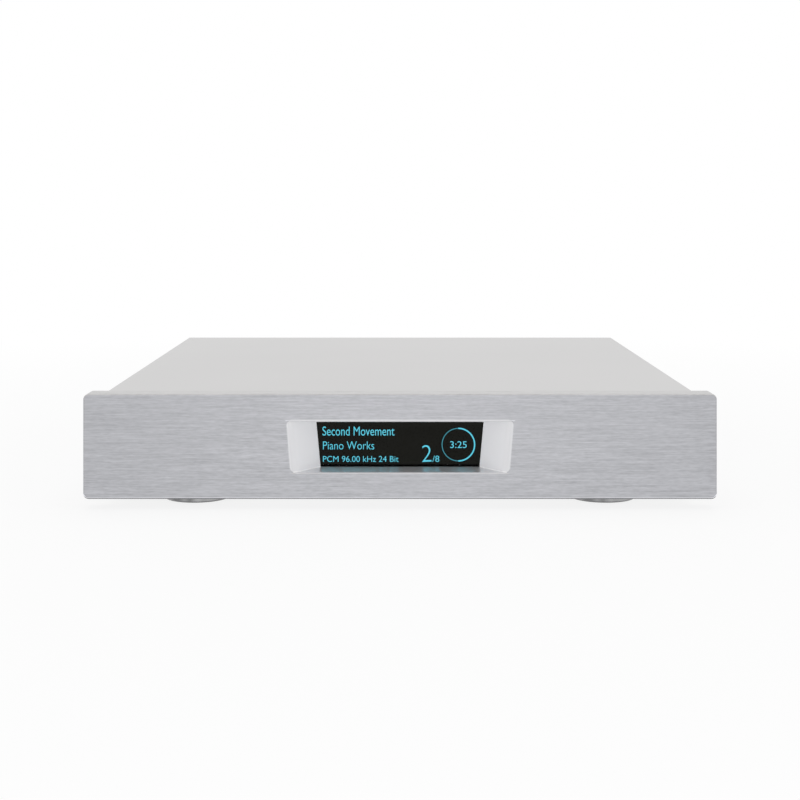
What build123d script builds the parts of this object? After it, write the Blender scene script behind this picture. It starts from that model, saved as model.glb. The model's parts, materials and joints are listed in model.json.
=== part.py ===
# Network music streamer: a low aluminium case with a thick brushed front panel, a scooped
# display window, four turned feet and a row of sockets on its rear panel.
# Millimetres. +Z is up, the front faces -Y, and the origin is on the floor at the middle of
# the object's footprint.
from build123d import *
import os
from math import cos, radians, sin, sqrt, tan

# Driving sizes of the case
panel_width = 350.0
panel_height = 58.0
panel_thickness = 15.0
chassis_depth = 345.0
side_step = 10.5
panel_lift = 5.7
base_rise = 1.5
base_thickness = 2.5
cover_wall = 2.5
rear_thickness = 2.5
rear_inset = 1.0
bracket_thickness = 1.5

# Small clearances, and how far a cutting tool runs past what it cuts
fit_gap = 0.2
shaft_gap = 0.05
touch_gap = 0.3
overrun = 5.0

# Front panel
panel_corner_radius = 3.0
panel_edge_radius = 0.8
recess_land = 0.6
recess_wall_angle = 41.0
recess_roof_angle = 89.0
recess_sill_angle = 85.0
recess_blend_radius = 8.0
recess_edge_radius = 1.0
recess_start_angle = 3.0
recess_lean_share = 0.093
window_pocket_depth = 2.2

# Display window, its gasket and the display behind them
window_lap_side = 7.0
window_lap_top = 3.6
window_thickness = 1.8
window_corner_radius = 1.5
gasket_thickness = 1.0
gasket_wall = 2.6
gasket_inset_side = 3.25
gasket_inset_top = 1.9
display_width = 99.0
display_height = 30.0
display_thickness = 2.4
display_lap_side = 3.75
display_lap_top = 1.7
display_board_margin_side = 12.5
display_board_margin_top = 5.0
display_hole_inset = 4.0
display_socket_width = 22.0
display_socket_height = 5.0
display_socket_depth = 3.0

# Corner posts
post_size = 12.0
post_top_gap = 2.3
post_edge_radius = 1.0

# Feet
foot_radius = 19.0
foot_gap = 1.0
foot_inset_share = 0.332
foot_rim_lift = 0.4
foot_chamfer = 0.7
foot_groove_depth = 0.5
foot_groove_height = 0.8
foot_web = 2.2
pad_radius = 15.5
pad_bore_radius = 5.5
pad_height = 2.3
pad_edge_radius = 0.3
foot_nut_across = 7.0
foot_nut_height = 3.0

# Screws, each as head radius, head height and shank radius
m4_head_radius = 3.5
m4_head_height = 2.4
m4_radius = 2.0
m3_head_radius = 2.8
m3_head_height = 1.7
m3_radius = 1.5
m25_head_radius = 2.2
m25_head_height = 1.4
m25_radius = 1.25
socket_key_share = 0.5
key_depth_share = 0.6
thread_bite = 7.0
hole_spare = 1.0
panel_screw_shares = (0.38, 0.82)
rear_screw_shares = (0.2, 0.84)
cover_screw_share = 0.55

# Vents in the base plate
vent_width = 3.0
vent_length = 34.0
vent_pitch = 7.0
vent_count = 9
vent_bank_x_shares = (-0.45, 0.45)
vent_bank_y_shares = (-0.12, 0.24)

# Rear panel: where the sockets sit across it, as shares of its half width
inlet_share = -0.742
switch_share = -0.490
ground_share = -0.345
usb_share = -0.200
network_share = -0.050
coax_share = 0.112
line_left_share = 0.284
line_right_share = 0.408
balanced_left_share = 0.606
balanced_right_share = 0.804
rear_edge_chamfer = 0.4

# Mains inlet with its fuse drawer
inlet_flange_width = 50.0
inlet_flange_height = 31.0
inlet_flange_thickness = 3.0
inlet_flange_radius = 4.0
inlet_body_depth = 21.0
inlet_wall = 1.4
inlet_mouth_width = 24.4
inlet_mouth_height = 16.6
inlet_mouth_depth = 15.5
inlet_mouth_chamfer = 4.0
inlet_screw_inset = 5.0
blade_width = 2.0
blade_height = 4.0
blade_setback = 1.5
blade_spread = 14.0
blade_drop = 2.0
blade_tip_chamfer = 0.6
earth_rise = 4.0
lug_width = 6.3
lug_thickness = 0.8
lug_length = 8.0
drawer_width = 22.0
drawer_height = 6.4
drawer_depth = 18.0
drawer_wall = 1.0
drawer_face_thickness = 1.6
drawer_grip_width = 7.0
drawer_grip_height = 1.4
drawer_grip_depth = 0.8
fuse_radius = 2.1
fuse_length = 14.0

# Power switch
switch_bezel_width = 15.0
switch_bezel_height = 21.0
switch_bezel_thickness = 1.8
switch_bezel_radius = 1.2
switch_body_width = 13.0
switch_body_height = 19.4
switch_body_depth = 13.0
rocker_width = 10.0
rocker_radius = 8.0
rocker_waist = 3.4
rocker_tilt = 12.0
rocker_back = 3.6
rocker_pivot_depth = 2.0
trunnion_radius = 1.2
trunnion_length = 0.8
switch_well_depth = 8.0

# Ground terminal
ground_base_across = 8.0
ground_base_thickness = 2.5
ground_stud_radius = 2.0
ground_washer_radius = 5.0
ground_washer_thickness = 1.0
ground_nut_radius = 5.6
ground_nut_length = 6.0
ground_nut_flutes = 24
ground_flute_radius = 0.45
ground_travel = 3.5
ground_end_spare = 0.8
ground_lock_radius = 4.6
ground_lock_thickness = 2.4
ground_axis_height = 15.0

# Twin data socket
usb_width = 14.4
usb_height = 15.6
usb_depth = 18.0
usb_proud = 0.8
usb_slot_width = 12.6
usb_slot_height = 5.2
usb_slot_depth = 12.0
usb_slot_shares = (0.27, 0.73)
usb_tongue_width = 11.2
usb_tongue_thickness = 1.9
usb_tongue_setback = 1.2

# Network socket
network_width = 16.0
network_height = 13.6
network_depth = 21.0
network_proud = 0.8
network_shell = 0.5
network_mouth_width = 11.8
network_mouth_height = 8.2
network_mouth_depth = 14.0
network_latch_width = 6.2
network_latch_height = 2.4
network_contact_count = 8
network_contact_pitch = 1.02
network_contact_radius = 0.2
network_contact_length = 9.0

# Coaxial socket
coax_block_width = 14.0
coax_block_height = 14.0
coax_block_depth = 12.0
coax_neck_radius = 6.0
coax_nut_across = 15.0
coax_nut_thickness = 2.4
coax_barrel_radius = 4.8
coax_barrel_reach = 12.0
coax_bore_radius = 4.05
coax_bore_depth = 8.0
coax_lug_radius = 0.95
coax_lug_height = 0.9
coax_lug_setback = 3.2
coax_core_radius = 2.4
coax_core_length = 7.0
coax_contact_radius = 0.7

# Line sockets
line_washer_radius = 7.2
line_washer_thickness = 1.2
line_flange_radius = 6.0
line_flange_thickness = 2.2
line_barrel_radius = 4.15
line_barrel_reach = 12.2
line_barrel_bore_radius = 3.3
line_contact_radius = 1.65
line_contact_depth = 8.0
line_neck_radius = 4.0
line_neck_depth = 9.0
line_nut_across = 12.0
line_nut_thickness = 3.0

# Balanced sockets
balanced_flange_width = 26.0
balanced_flange_height = 31.0
balanced_flange_thickness = 2.2
balanced_flange_radius = 3.0
balanced_bore_radius = 9.5
balanced_shell_wall = 2.1
balanced_body_depth = 18.0
balanced_bore_depth = 15.5
balanced_key_width = 3.2
balanced_key_depth = 1.3
balanced_pin_radius = 1.2
balanced_pin_setback = 1.5
balanced_pin_tail = 5.0
balanced_pin_spread = 3.75
balanced_pin_rise = 1.9
balanced_pin_drop = 3.2
balanced_screw_inset = 3.5

# Circuit boards
board_thickness = 1.6
standoff_radius = 2.6
standoff_height = 6.0
board_hole_inset = 4.5
board_side_margin = 8.0
board_rear_gap = 0.8
board_side_gap = 0.9
main_board_depth = 160.0
analog_board_rear_gap = 22.0
analog_board_overhang = 12.0
power_board_depth = 122.0
power_board_rear_gap = 36.0
power_board_wall_gap = 1.6
power_board_overhang = 14.0

# What the boards carry
processor_width = 52.0
processor_depth = 44.0
processor_rise = 3.0
processor_thickness = 1.2
processor_chip_size = 18.0
processor_chip_thickness = 1.6
processor_y_share = 0.45
sink_width = 40.0
sink_depth = 36.0
sink_base = 2.0
sink_height = 14.0
sink_fin_thickness = 1.2
sink_fin_count = 9
capacitor_radius = 5.0
capacitor_height = 16.0
capacitor_pitch = 13.0
main_capacitor_count = 4
reservoir_radius = 9.0
reservoir_height = 28.0
reservoir_gap = 1.0
reservoir_count = 4
can_bevel = 0.6
converter_size = 9.0
converter_thickness = 1.4
converter_pitch = 26.0
converter_y_share = 0.3
coupler_width = 17.0
coupler_depth = 25.0
coupler_height = 18.0
coupler_pitch = 24.0
coupler_count = 4
coupler_y_share = 0.62
power_sink_width = 74.0
power_sink_height = 30.0
power_sink_thickness = 3.0
power_sink_foot = 8.0
power_sink_y_share = 0.62
regulator_width = 10.2
regulator_height = 15.0
regulator_thickness = 4.5
regulator_count = 3

# Mains transformer, a taped ring clamped by a dished plate
ring_radius = 37.0
ring_bore_radius = 13.0
transformer_headroom = 9.8
ring_edge_radius = 7.0
ring_pad_thickness = 2.0
clamp_radius = 30.0
clamp_thickness = 1.5
clamp_dish = 1.2
clamp_bolt_radius = 3.0
clamp_bolt_head_across = 10.0
clamp_bolt_head_height = 4.0
transformer_x_share = -0.64
transformer_y_share = 0.2

# Leads and the display's flat cable
lead_radius = 0.9
lead_inset = 6.0
lead_loop = 12.0
lead_bend_share = 0.45
winding_lead_pitch = 8.0
winding_lead_count = 4
bridge_rise = 10.0
power_bridge_shares = (0.33, 0.36)
signal_bridge_shares = (0.70, 0.73)
ribbon_width = 18.0
ribbon_thickness = 0.5
ribbon_bend_radius = 3.0
ribbon_drop = 2.2
header_width = 22.0
header_depth = 6.0
header_height = 5.0

# Levels, from the floor up
panel_bottom = panel_lift
panel_top = panel_bottom + panel_height
panel_middle = (panel_bottom + panel_top) / 2
base_bottom = panel_bottom + base_rise
base_top = base_bottom + base_thickness
ceiling = panel_top - cover_wall
plate_top = ceiling - fit_gap
board_bottom = base_top + standoff_height
board_top = board_bottom + board_thickness
socket_middle = (base_bottom + plate_top) / 2
post_height = plate_top - post_top_gap - base_top
ring_height = (
    ceiling - base_top - transformer_headroom - 2 * ring_pad_thickness - clamp_thickness
    - clamp_dish - clamp_bolt_head_height
)

# Widths
cover_half = panel_width / 2 - side_step
inner_half = cover_half - cover_wall
plate_half = inner_half - fit_gap
post_x = plate_half - post_size / 2

# Depths, from the front face back
recess_depth = panel_thickness - window_pocket_depth - recess_land
ground_reach = (
    ground_base_thickness + ground_washer_thickness + ground_nut_length + ground_travel
    + ground_end_spare
)
overall_depth = chassis_depth - rear_inset + ground_reach
front_y = -overall_depth / 2
panel_back_y = front_y + panel_thickness
cover_back_y = front_y + chassis_depth
rear_face_y = cover_back_y - rear_inset
rear_inner_y = rear_face_y - rear_thickness
bracket_back_y = panel_back_y + bracket_thickness
front_post_y = bracket_back_y + post_size / 2
rear_post_y = rear_inner_y - post_size / 2
board_rear_y = rear_inner_y - board_rear_gap
bay_depth = rear_inner_y - bracket_back_y

# Places of the feet
foot_x = panel_width * foot_inset_share
foot_setback = panel_thickness + foot_gap + foot_radius
foot_front_y = front_y + foot_setback
foot_rear_y = cover_back_y - foot_setback
foot_places = {
    "front_left": (-foot_x, foot_front_y),
    "front_right": (foot_x, foot_front_y),
    "rear_left": (-foot_x, foot_rear_y),
    "rear_right": (foot_x, foot_rear_y),
}

# Places of the sockets
inlet_x = plate_half * inlet_share
switch_x = plate_half * switch_share
ground_x = plate_half * ground_share
usb_x = plate_half * usb_share
network_x = plate_half * network_share
coax_x = plate_half * coax_share
line_x = {"left": plate_half * line_left_share, "right": plate_half * line_right_share}
balanced_x = {
    "left": plate_half * balanced_left_share,
    "right": plate_half * balanced_right_share,
}
ground_z = base_top + ground_axis_height
coax_z = board_top + coax_block_height / 2

BOTTOM = (Align.CENTER, Align.CENTER, Align.MIN)


# Shared shapes


def span(x0, x1, y0, y1, z0, z1):
    """A block between two corners."""
    size = Box(x1 - x0, y1 - y0, z1 - z0, align=Align.MIN)
    return Pos(x0, y0, z0) * size


def block(centre_x, width, y0, y1, centre_z, height):
    """A block given by its middle across and up, and its two ends in depth."""
    return span(
        centre_x - width / 2, centre_x + width / 2, y0, y1,
        centre_z - height / 2, centre_z + height / 2,
    )


def facing_back(x, y, z):
    """A place whose own +Z points out of the rear."""
    return Location(Plane((x, y, z), x_dir=(1, 0, 0), z_dir=(0, 1, 0)))


def facing_front(x, y, z):
    """A place whose own +Z points out of the front."""
    return Location(Plane((x, y, z), x_dir=(1, 0, 0), z_dir=(0, -1, 0)))


def facing_down(x, y, z):
    """A place whose own +Z points at the floor."""
    return Location(Plane((x, y, z), x_dir=(1, 0, 0), z_dir=(0, 0, -1)))


def facing_side(x, y, z, side):
    """A place whose own +Z points out of the left (-1) or right (1) side."""
    return Location(Plane((x, y, z), x_dir=(0, 1, 0), z_dir=(side, 0, 0)))


def rod(radius, length):
    """A round bar standing on its place."""
    return Cylinder(radius, length, align=BOTTOM)


def tube(radius, bore, length):
    """A round bar with a hole along it."""
    return rod(radius, length) - rod(bore, length)


def hex_bar(across_flats, length):
    """A six-sided bar standing on its place."""
    outline = RegularPolygon(across_flats / 2, 6, major_radius=False)
    return extrude(outline, amount=length)


def rounded_plate(width, height, radius, thickness):
    """A plate with round corners, lying on its place."""
    return extrude(RectangleRounded(width, height, radius), amount=thickness)


def group(shape, places):
    """One node of like pieces that stay separate solids."""
    return Part() + [place * shape for place in places]


def screw(head_radius, head_height, shank_radius, shank_length):
    """A pan-head screw with a hexagon key hole: the head stands up, the shank hangs down."""
    head = fillet(rod(head_radius, head_height).edges().group_by(Axis.Z)[-1], head_height / 3)
    shank = Pos(0, 0, -shank_length) * rod(shank_radius, shank_length)
    key_depth = head_height * key_depth_share
    key = Pos(0, 0, head_height - key_depth) * hex_bar(head_radius * 2 * socket_key_share, key_depth)
    return head + shank - key


def flush_screw(head_radius, head_height, shank_radius, shank_length):
    """A countersunk screw whose flat top lies at its place, with a hexagon key hole."""
    head = Pos(0, 0, -head_height) * Cone(shank_radius, head_radius, head_height, align=BOTTOM)
    shank = Pos(0, 0, -shank_length) * rod(shank_radius, shank_length)
    key_depth = head_height * key_depth_share
    key = Pos(0, 0, -key_depth) * hex_bar(head_radius * socket_key_share, key_depth)
    return head + shank - key


def flush_hole(head_radius, head_height, shank_radius, depth):
    """What a countersunk screw needs cut away."""
    sink = Pos(0, 0, -head_height) * Cone(
        shank_radius + fit_gap, head_radius + fit_gap, head_height, align=BOTTOM
    )
    return sink + Pos(0, 0, -depth) * rod(shank_radius + fit_gap, depth)


def hole(radius, depth):
    """A blind hole that runs down from its place, and out past it."""
    return Pos(0, 0, -depth) * rod(radius + fit_gap, depth + overrun)


# Places that several pieces share

post_places = [
    (side * post_x, y) for y in (front_post_y, rear_post_y) for side in (-1, 1)
]
panel_screw_places = [
    (side * post_x, base_top + post_height * share)
    for side in (-1, 1)
    for share in panel_screw_shares
]
rear_screw_places = [
    (side * post_x, base_top + post_height * share)
    for side in (-1, 1)
    for share in rear_screw_shares
]
cover_screw_z = base_top + post_height * cover_screw_share
cover_screw_places = [
    facing_side(side * cover_half, y, cover_screw_z, side)
    for side in (-1, 1)
    for y in (front_post_y, rear_post_y)
]
panel_screw_grip = post_size + bracket_thickness
display_board_width = display_width + 2 * display_board_margin_side
display_board_height = display_height + 2 * display_board_margin_top
display_hole_x = display_board_width / 2 - display_hole_inset
display_hole_z = display_board_height / 2 - display_hole_inset
display_hole_places = [
    (x, panel_middle + z)
    for x in (-display_hole_x, display_hole_x)
    for z in (-display_hole_z, display_hole_z)
]
window_front_y = front_y + recess_depth + recess_land
window_back_y = window_front_y + window_thickness
gasket_back_y = window_back_y + gasket_thickness
display_back_y = gasket_back_y + display_thickness
display_board_back_y = display_back_y + board_thickness


# Front panel and display

window_opening_width = display_width - 2 * display_lap_side
window_opening_height = display_height - 2 * display_lap_top
window_width = window_opening_width + 2 * window_lap_side
window_height = window_opening_height + 2 * window_lap_top


def flare(half, wall_angle, radius):
    """Half of a mouth that opens towards the front face: the foot of its sloping wall, where
    the wall meets its round edge, the middle of that round, and where it reaches the face.
    Each point is (distance from the middle, depth behind the face)."""
    start, wall = radians(recess_start_angle), radians(wall_angle)
    centre_depth = radius * cos(start)
    wall_top = centre_depth - radius * cos(wall)
    centre = half + (recess_depth - wall_top) / tan(wall) + radius * sin(wall)
    middle = (start + wall) / 2
    return (
        (half, recess_depth),
        (centre - radius * sin(wall), wall_top),
        (centre - radius * sin(middle), centre_depth - radius * cos(middle)),
        (centre - radius * sin(start), 0),
    )


def mouth_side(half, wall_angle, radius, side):
    """One side of a mouth, on the left (-1) or the right (1), from behind the panel to before
    it."""
    foot, wall_top, round_middle, face = [
        (side * across, depth) for across, depth in flare(half, wall_angle, radius)
    ]
    before, behind = -overrun, panel_thickness + overrun
    return (
        Line((0, behind), (foot[0], behind))
        + Line((foot[0], behind), foot)
        + Line(foot, wall_top)
        + ThreePointArc(wall_top, round_middle, face)
        + Line(face, (face[0], before))
        + Line((face[0], before), (0, before))
    )


def mouth_outline(half, left_angle, right_angle, radius):
    """The closed outline of a mouth, as (across, depth)."""
    left = mouth_side(half, left_angle, radius, -1)
    right = mouth_side(half, right_angle, radius, 1)
    return make_face((right + left).edges())


def recess_cutter():
    """The scoop: its side walls lean outwards going up, its roof is nearly level, and its sill
    slopes down a little towards the front."""
    low, high = panel_bottom, panel_top
    sections = []
    for z in (low, high):
        half = window_opening_width / 2 + (z - panel_middle) * recess_lean_share
        outline = mouth_outline(
            half, recess_wall_angle, recess_wall_angle, recess_blend_radius
        )
        sections.append(Pos(0, front_y, z) * outline)
    scoop = loft(sections, ruled=True)
    slot_outline = mouth_outline(
        window_opening_height / 2, recess_sill_angle, recess_roof_angle, recess_edge_radius
    )
    upright = Plane((0, front_y, panel_middle), x_dir=(0, 0, 1), z_dir=(-1, 0, 0))
    slot = extrude(upright * slot_outline, amount=panel_width / 2, both=True)
    return scoop & slot


def front_panel():
    panel = span(
        -panel_width / 2, panel_width / 2, front_y, panel_back_y, panel_bottom, panel_top
    )
    panel = fillet(panel.edges().filter_by(Axis.Y), panel_corner_radius)
    face_edges = panel.faces().sort_by(Axis.Y)[0].edges()
    panel = fillet(face_edges, panel_edge_radius)
    panel -= recess_cutter()
    panel -= block(
        0, window_width + 2 * fit_gap, window_front_y, panel_back_y + overrun, panel_middle,
        window_height + 2 * fit_gap,
    )
    for x, z in panel_screw_places:
        panel -= facing_back(x, panel_back_y, z) * hole(m4_radius, thread_bite + hole_spare)
    return panel


def display_window():
    plate = rounded_plate(window_width, window_height, window_corner_radius, window_thickness)
    return facing_back(0, window_front_y, panel_middle) * plate


def window_gasket():
    width = window_width - 2 * gasket_inset_side
    height = window_height - 2 * gasket_inset_top
    outer = rounded_plate(width, height, window_corner_radius, gasket_thickness)
    inner = rounded_plate(
        width - 2 * gasket_wall, height - 2 * gasket_wall, window_corner_radius,
        gasket_thickness,
    )
    return facing_back(0, window_back_y, panel_middle) * (outer - inner)


def display_panel():
    return block(
        0, display_width, gasket_back_y, display_back_y, panel_middle, display_height
    )


def display_board():
    board = block(
        0, display_board_width, display_back_y, display_board_back_y, panel_middle,
        display_board_height,
    )
    for x, z in display_hole_places:
        board -= facing_back(x, display_board_back_y, z) * hole(m25_radius, board_thickness)
    socket = block(
        0, display_socket_width, display_board_back_y,
        display_board_back_y + display_socket_depth, panel_middle, display_socket_height,
    )
    return board + socket


def front_bracket():
    plate = span(-plate_half, plate_half, panel_back_y, bracket_back_y, base_top, plate_top)
    plate -= block(
        0, display_width + 2 * touch_gap, panel_back_y - overrun, bracket_back_y + overrun,
        panel_middle, display_height + 2 * touch_gap,
    )
    for x, z in display_hole_places:
        plate -= facing_back(x, bracket_back_y, z) * hole(m25_radius, bracket_thickness)
    for x, z in panel_screw_places:
        plate -= facing_back(x, bracket_back_y, z) * hole(m4_radius, bracket_thickness)
    return plate


# Case


def top_cover():
    outer = Pos(0, (base_bottom + panel_top) / 2) * Rectangle(
        2 * cover_half, panel_top - base_bottom
    )
    outer = fillet(outer.vertices().group_by(Axis.Y)[-1], cover_wall / 2)
    inner = Pos(0, (base_bottom - overrun + ceiling) / 2) * Rectangle(
        2 * inner_half, ceiling - base_bottom + overrun
    )
    upright = Plane((0, panel_back_y, 0), x_dir=(1, 0, 0), z_dir=(0, -1, 0))
    cover = extrude(upright * (outer - inner), amount=-(cover_back_y - panel_back_y))
    for place in cover_screw_places:
        cover -= place * flush_hole(m3_head_radius, m3_head_height, m3_radius, cover_wall)
    return cover


def corner_posts():
    posts = Part()
    bar = fillet(
        Box(post_size, post_size, post_height, align=BOTTOM).edges().filter_by(Axis.Z),
        post_edge_radius,
    )
    for x, y in post_places:
        post = Pos(x, y, base_top) * bar
        post -= facing_down(x, y, base_top) * hole(m3_radius, thread_bite)
        side = 1 if x > 0 else -1
        post -= facing_side(x + side * post_size / 2, y, cover_screw_z, side) * hole(
            m3_radius, thread_bite
        )
        posts += post
    for x, z in panel_screw_places:
        posts -= facing_front(x, bracket_back_y, z) * hole(m4_radius, post_size + overrun)
    for x, z in rear_screw_places:
        posts -= facing_back(x, rear_inner_y, z) * hole(m3_radius, thread_bite)
    return posts


def base_plate():
    plate = span(-plate_half, plate_half, panel_back_y, rear_inner_y, base_bottom, base_top)
    for x, y in post_places:
        plate -= facing_down(x, y, base_bottom) * flush_hole(
            m3_head_radius, m3_head_height, m3_radius, base_thickness
        )
    for x, y in foot_places.values():
        plate -= facing_down(x, y, base_bottom) * hole(m4_radius, base_thickness)
    slot = Pos(0, 0, base_bottom) * extrude(
        SlotOverall(vent_length, vent_width, rotation=90), amount=base_thickness
    )
    middle_y = (panel_back_y + rear_inner_y) / 2
    for x_share in vent_bank_x_shares:
        for y_share in vent_bank_y_shares:
            for i in range(vent_count):
                x = plate_half * x_share + (i - (vent_count - 1) / 2) * vent_pitch
                plate -= Pos(x, middle_y + bay_depth * y_share, 0) * slot
    bolt = Pos(*transformer_place, base_bottom) * rod(clamp_bolt_radius + fit_gap, base_thickness)
    return plate - bolt


def rear_cut(x, z, width, height):
    """A square hole through the rear panel, a clearance larger than what goes in it."""
    return block(
        x, width + 2 * fit_gap, rear_inner_y - overrun, rear_face_y + overrun, z,
        height + 2 * fit_gap,
    )


def rear_bore(x, z, radius):
    """A round hole through the rear panel, a clearance larger than what goes in it."""
    return facing_back(x, rear_face_y, z) * hole(radius, rear_thickness + overrun)


def rear_panel():
    panel = span(-plate_half, plate_half, rear_inner_y, rear_face_y, base_bottom, plate_top)
    panel = chamfer(panel.faces().sort_by(Axis.Y)[-1].edges(), rear_edge_chamfer)
    panel -= rear_cut(inlet_x, inlet_body_z, inlet_body_width, inlet_body_height)
    panel -= rear_cut(switch_x, socket_middle, switch_body_width, switch_body_height)
    panel -= rear_cut(usb_x, board_top + usb_height / 2, usb_width, usb_height)
    panel -= rear_cut(network_x, board_top + network_height / 2, network_width, network_height)
    panel -= rear_bore(coax_x, coax_z, coax_neck_radius)
    panel -= rear_bore(ground_x, ground_z, ground_stud_radius)
    for x in line_x.values():
        panel -= rear_bore(x, socket_middle, line_neck_radius)
    for x in balanced_x.values():
        panel -= rear_bore(x, socket_middle, balanced_body_radius)
    for x, z in rear_screw_places:
        panel -= rear_bore(x, z, m3_radius)
    for place in flange_screw_places:
        panel -= place * hole(m3_radius, balanced_flange_thickness + rear_thickness + overrun)
    return panel


# Feet


def foot(place):
    """A turned disc with a groove, a pocket for its pad and a hole for its screw."""
    height = base_bottom - foot_rim_lift
    disc = rod(foot_radius, height)
    disc = chamfer(disc.edges().filter_by(GeomType.CIRCLE).group_by(Axis.Z)[0], foot_chamfer)
    groove_z = height - 2 * foot_groove_height
    disc -= Pos(0, 0, groove_z) * tube(
        foot_radius + overrun, foot_radius - foot_groove_depth, foot_groove_height
    )
    disc -= rod(pad_radius + fit_gap / 2, pad_height - foot_rim_lift)
    disc -= rod(m4_head_radius + fit_gap, height - foot_web)
    disc -= rod(m4_radius + fit_gap, height)
    return Pos(*place, foot_rim_lift) * disc


def foot_pads():
    """Rubber rings that stand a little below the rims of the feet."""
    ring = tube(pad_radius, pad_bore_radius, pad_height)
    ring = fillet(ring.edges().filter_by(GeomType.CIRCLE).group_by(Axis.Z)[0], pad_edge_radius)
    return group(ring, [Pos(*place, 0) for place in foot_places.values()])


def foot_screws():
    grip = foot_web + base_thickness + foot_nut_height
    one = screw(m4_head_radius, m4_head_height, m4_radius, grip)
    seat = base_bottom - foot_web
    return group(one, [facing_down(*place, seat) for place in foot_places.values()])


def foot_nuts():
    nut = hex_bar(foot_nut_across, foot_nut_height) - rod(m4_radius + fit_gap, foot_nut_height)
    return group(nut, [Pos(*place, base_top) for place in foot_places.values()])


# Fasteners of the case


def panel_screws():
    one = screw(m4_head_radius, m4_head_height, m4_radius, panel_screw_grip + thread_bite)
    back = bracket_back_y + post_size
    return group(one, [facing_back(x, back, z) for x, z in panel_screw_places])


def rear_screws():
    one = screw(m3_head_radius, m3_head_height, m3_radius, rear_thickness + thread_bite - hole_spare)
    return group(one, [facing_back(x, rear_face_y, z) for x, z in rear_screw_places])


# Mains inlet and fuse drawer

inlet_body_width = inlet_mouth_width + 2 * inlet_wall
drawer_bay_width = drawer_width + 2 * fit_gap
drawer_bay_height = drawer_height + 2 * fit_gap
inlet_body_height = inlet_mouth_height + drawer_bay_height + 3 * inlet_wall
inlet_body_z = socket_middle
inlet_face_y = rear_face_y + inlet_flange_thickness
inlet_mouth_z = inlet_body_z + (inlet_body_height - inlet_mouth_height) / 2 - inlet_wall
drawer_z = inlet_body_z - (inlet_body_height - drawer_bay_height) / 2 + inlet_wall
inlet_floor_y = inlet_face_y - inlet_mouth_depth
inlet_back_y = rear_face_y - inlet_body_depth
inlet_screw_x = inlet_flange_width / 2 - inlet_screw_inset
balanced_screw_x = balanced_flange_width / 2 - balanced_screw_inset
balanced_screw_z = balanced_flange_height / 2 - balanced_screw_inset
balanced_body_radius = balanced_bore_radius + balanced_shell_wall
blade_places = [
    (inlet_x - blade_spread / 2, inlet_mouth_z - blade_drop),
    (inlet_x + blade_spread / 2, inlet_mouth_z - blade_drop),
    (inlet_x, inlet_mouth_z + earth_rise),
]
flange_screw_places = [
    facing_back(inlet_x + side * inlet_screw_x, inlet_face_y, inlet_body_z)
    for side in (-1, 1)
] + [
    facing_back(
        x + side * balanced_screw_x,
        rear_face_y + balanced_flange_thickness,
        socket_middle + side * balanced_screw_z,
    )
    for x in balanced_x.values()
    for side in (-1, 1)
]


def mains_inlet():
    flange = facing_back(inlet_x, rear_face_y, inlet_body_z) * rounded_plate(
        inlet_flange_width, inlet_flange_height, inlet_flange_radius, inlet_flange_thickness
    )
    body = block(
        inlet_x, inlet_body_width, inlet_back_y, rear_face_y, inlet_body_z, inlet_body_height
    )
    outline = Rectangle(inlet_mouth_width, inlet_mouth_height)
    outline = chamfer(outline.vertices().group_by(Axis.Y)[0], inlet_mouth_chamfer)
    mouth = extrude(outline, amount=inlet_mouth_depth + overrun)
    inlet = flange + body - facing_back(inlet_x, inlet_floor_y, inlet_mouth_z) * mouth
    inlet -= block(
        inlet_x, drawer_bay_width, inlet_face_y - drawer_depth - fit_gap,
        inlet_face_y + overrun, drawer_z, drawer_bay_height,
    )
    for x, z in blade_places:
        inlet -= block(
            x, blade_width + 2 * shaft_gap, inlet_back_y - overrun, inlet_floor_y + overrun,
            z, blade_height + 2 * shaft_gap,
        )
    for place in flange_screw_places[:2]:
        inlet -= place * flush_hole(
            m3_head_radius, m3_head_height, m3_radius, inlet_flange_thickness
        )
    return inlet


def inlet_blades():
    tip_y = inlet_face_y - blade_setback
    blades = Part()
    for x, z in blade_places:
        blade = block(x, blade_width, inlet_back_y, tip_y, z, blade_height)
        tip = blade.faces().sort_by(Axis.Y)[-1].edges()
        blade = chamfer(tip, blade_tip_chamfer)
        lug = block(x, lug_thickness, inlet_back_y - lug_length, inlet_back_y, z, lug_width)
        blades += blade + lug
    return blades


def fuse_drawer():
    back_y = inlet_face_y - drawer_depth
    drawer = block(inlet_x, drawer_width, back_y, inlet_face_y, drawer_z, drawer_height)
    tray_front = inlet_face_y - drawer_face_thickness
    drawer -= span(
        inlet_x - drawer_width / 2 + drawer_wall, inlet_x + drawer_width / 2 - drawer_wall,
        back_y + drawer_wall, tray_front,
        drawer_z - drawer_height / 2 + drawer_wall, drawer_z + drawer_height / 2 + overrun,
    )
    grip_z = drawer_z + drawer_height / 2 - drawer_grip_height / 2
    drawer -= block(
        inlet_x, drawer_grip_width, inlet_face_y - drawer_grip_depth,
        inlet_face_y + overrun, grip_z, drawer_grip_height,
    )
    return drawer


def fuse_link():
    y = (inlet_face_y - drawer_face_thickness + inlet_face_y - drawer_depth + drawer_wall) / 2
    z = drawer_z - drawer_height / 2 + drawer_wall + fuse_radius
    link = rod(fuse_radius, fuse_length)
    return Pos(inlet_x - fuse_length / 2, y, z) * Rot(0, 90, 0) * link


def flush_screws():
    """The countersunk screws of the cover, the base plate and the socket flanges."""
    length = cover_wall + thread_bite - hole_spare
    one = flush_screw(m3_head_radius, m3_head_height, m3_radius, length)
    base_places = [facing_down(x, y, base_bottom) for x, y in post_places]
    return group(one, cover_screw_places + base_places + flange_screw_places)


# Power switch

pivot_y = rear_face_y + switch_bezel_thickness - rocker_pivot_depth


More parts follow.
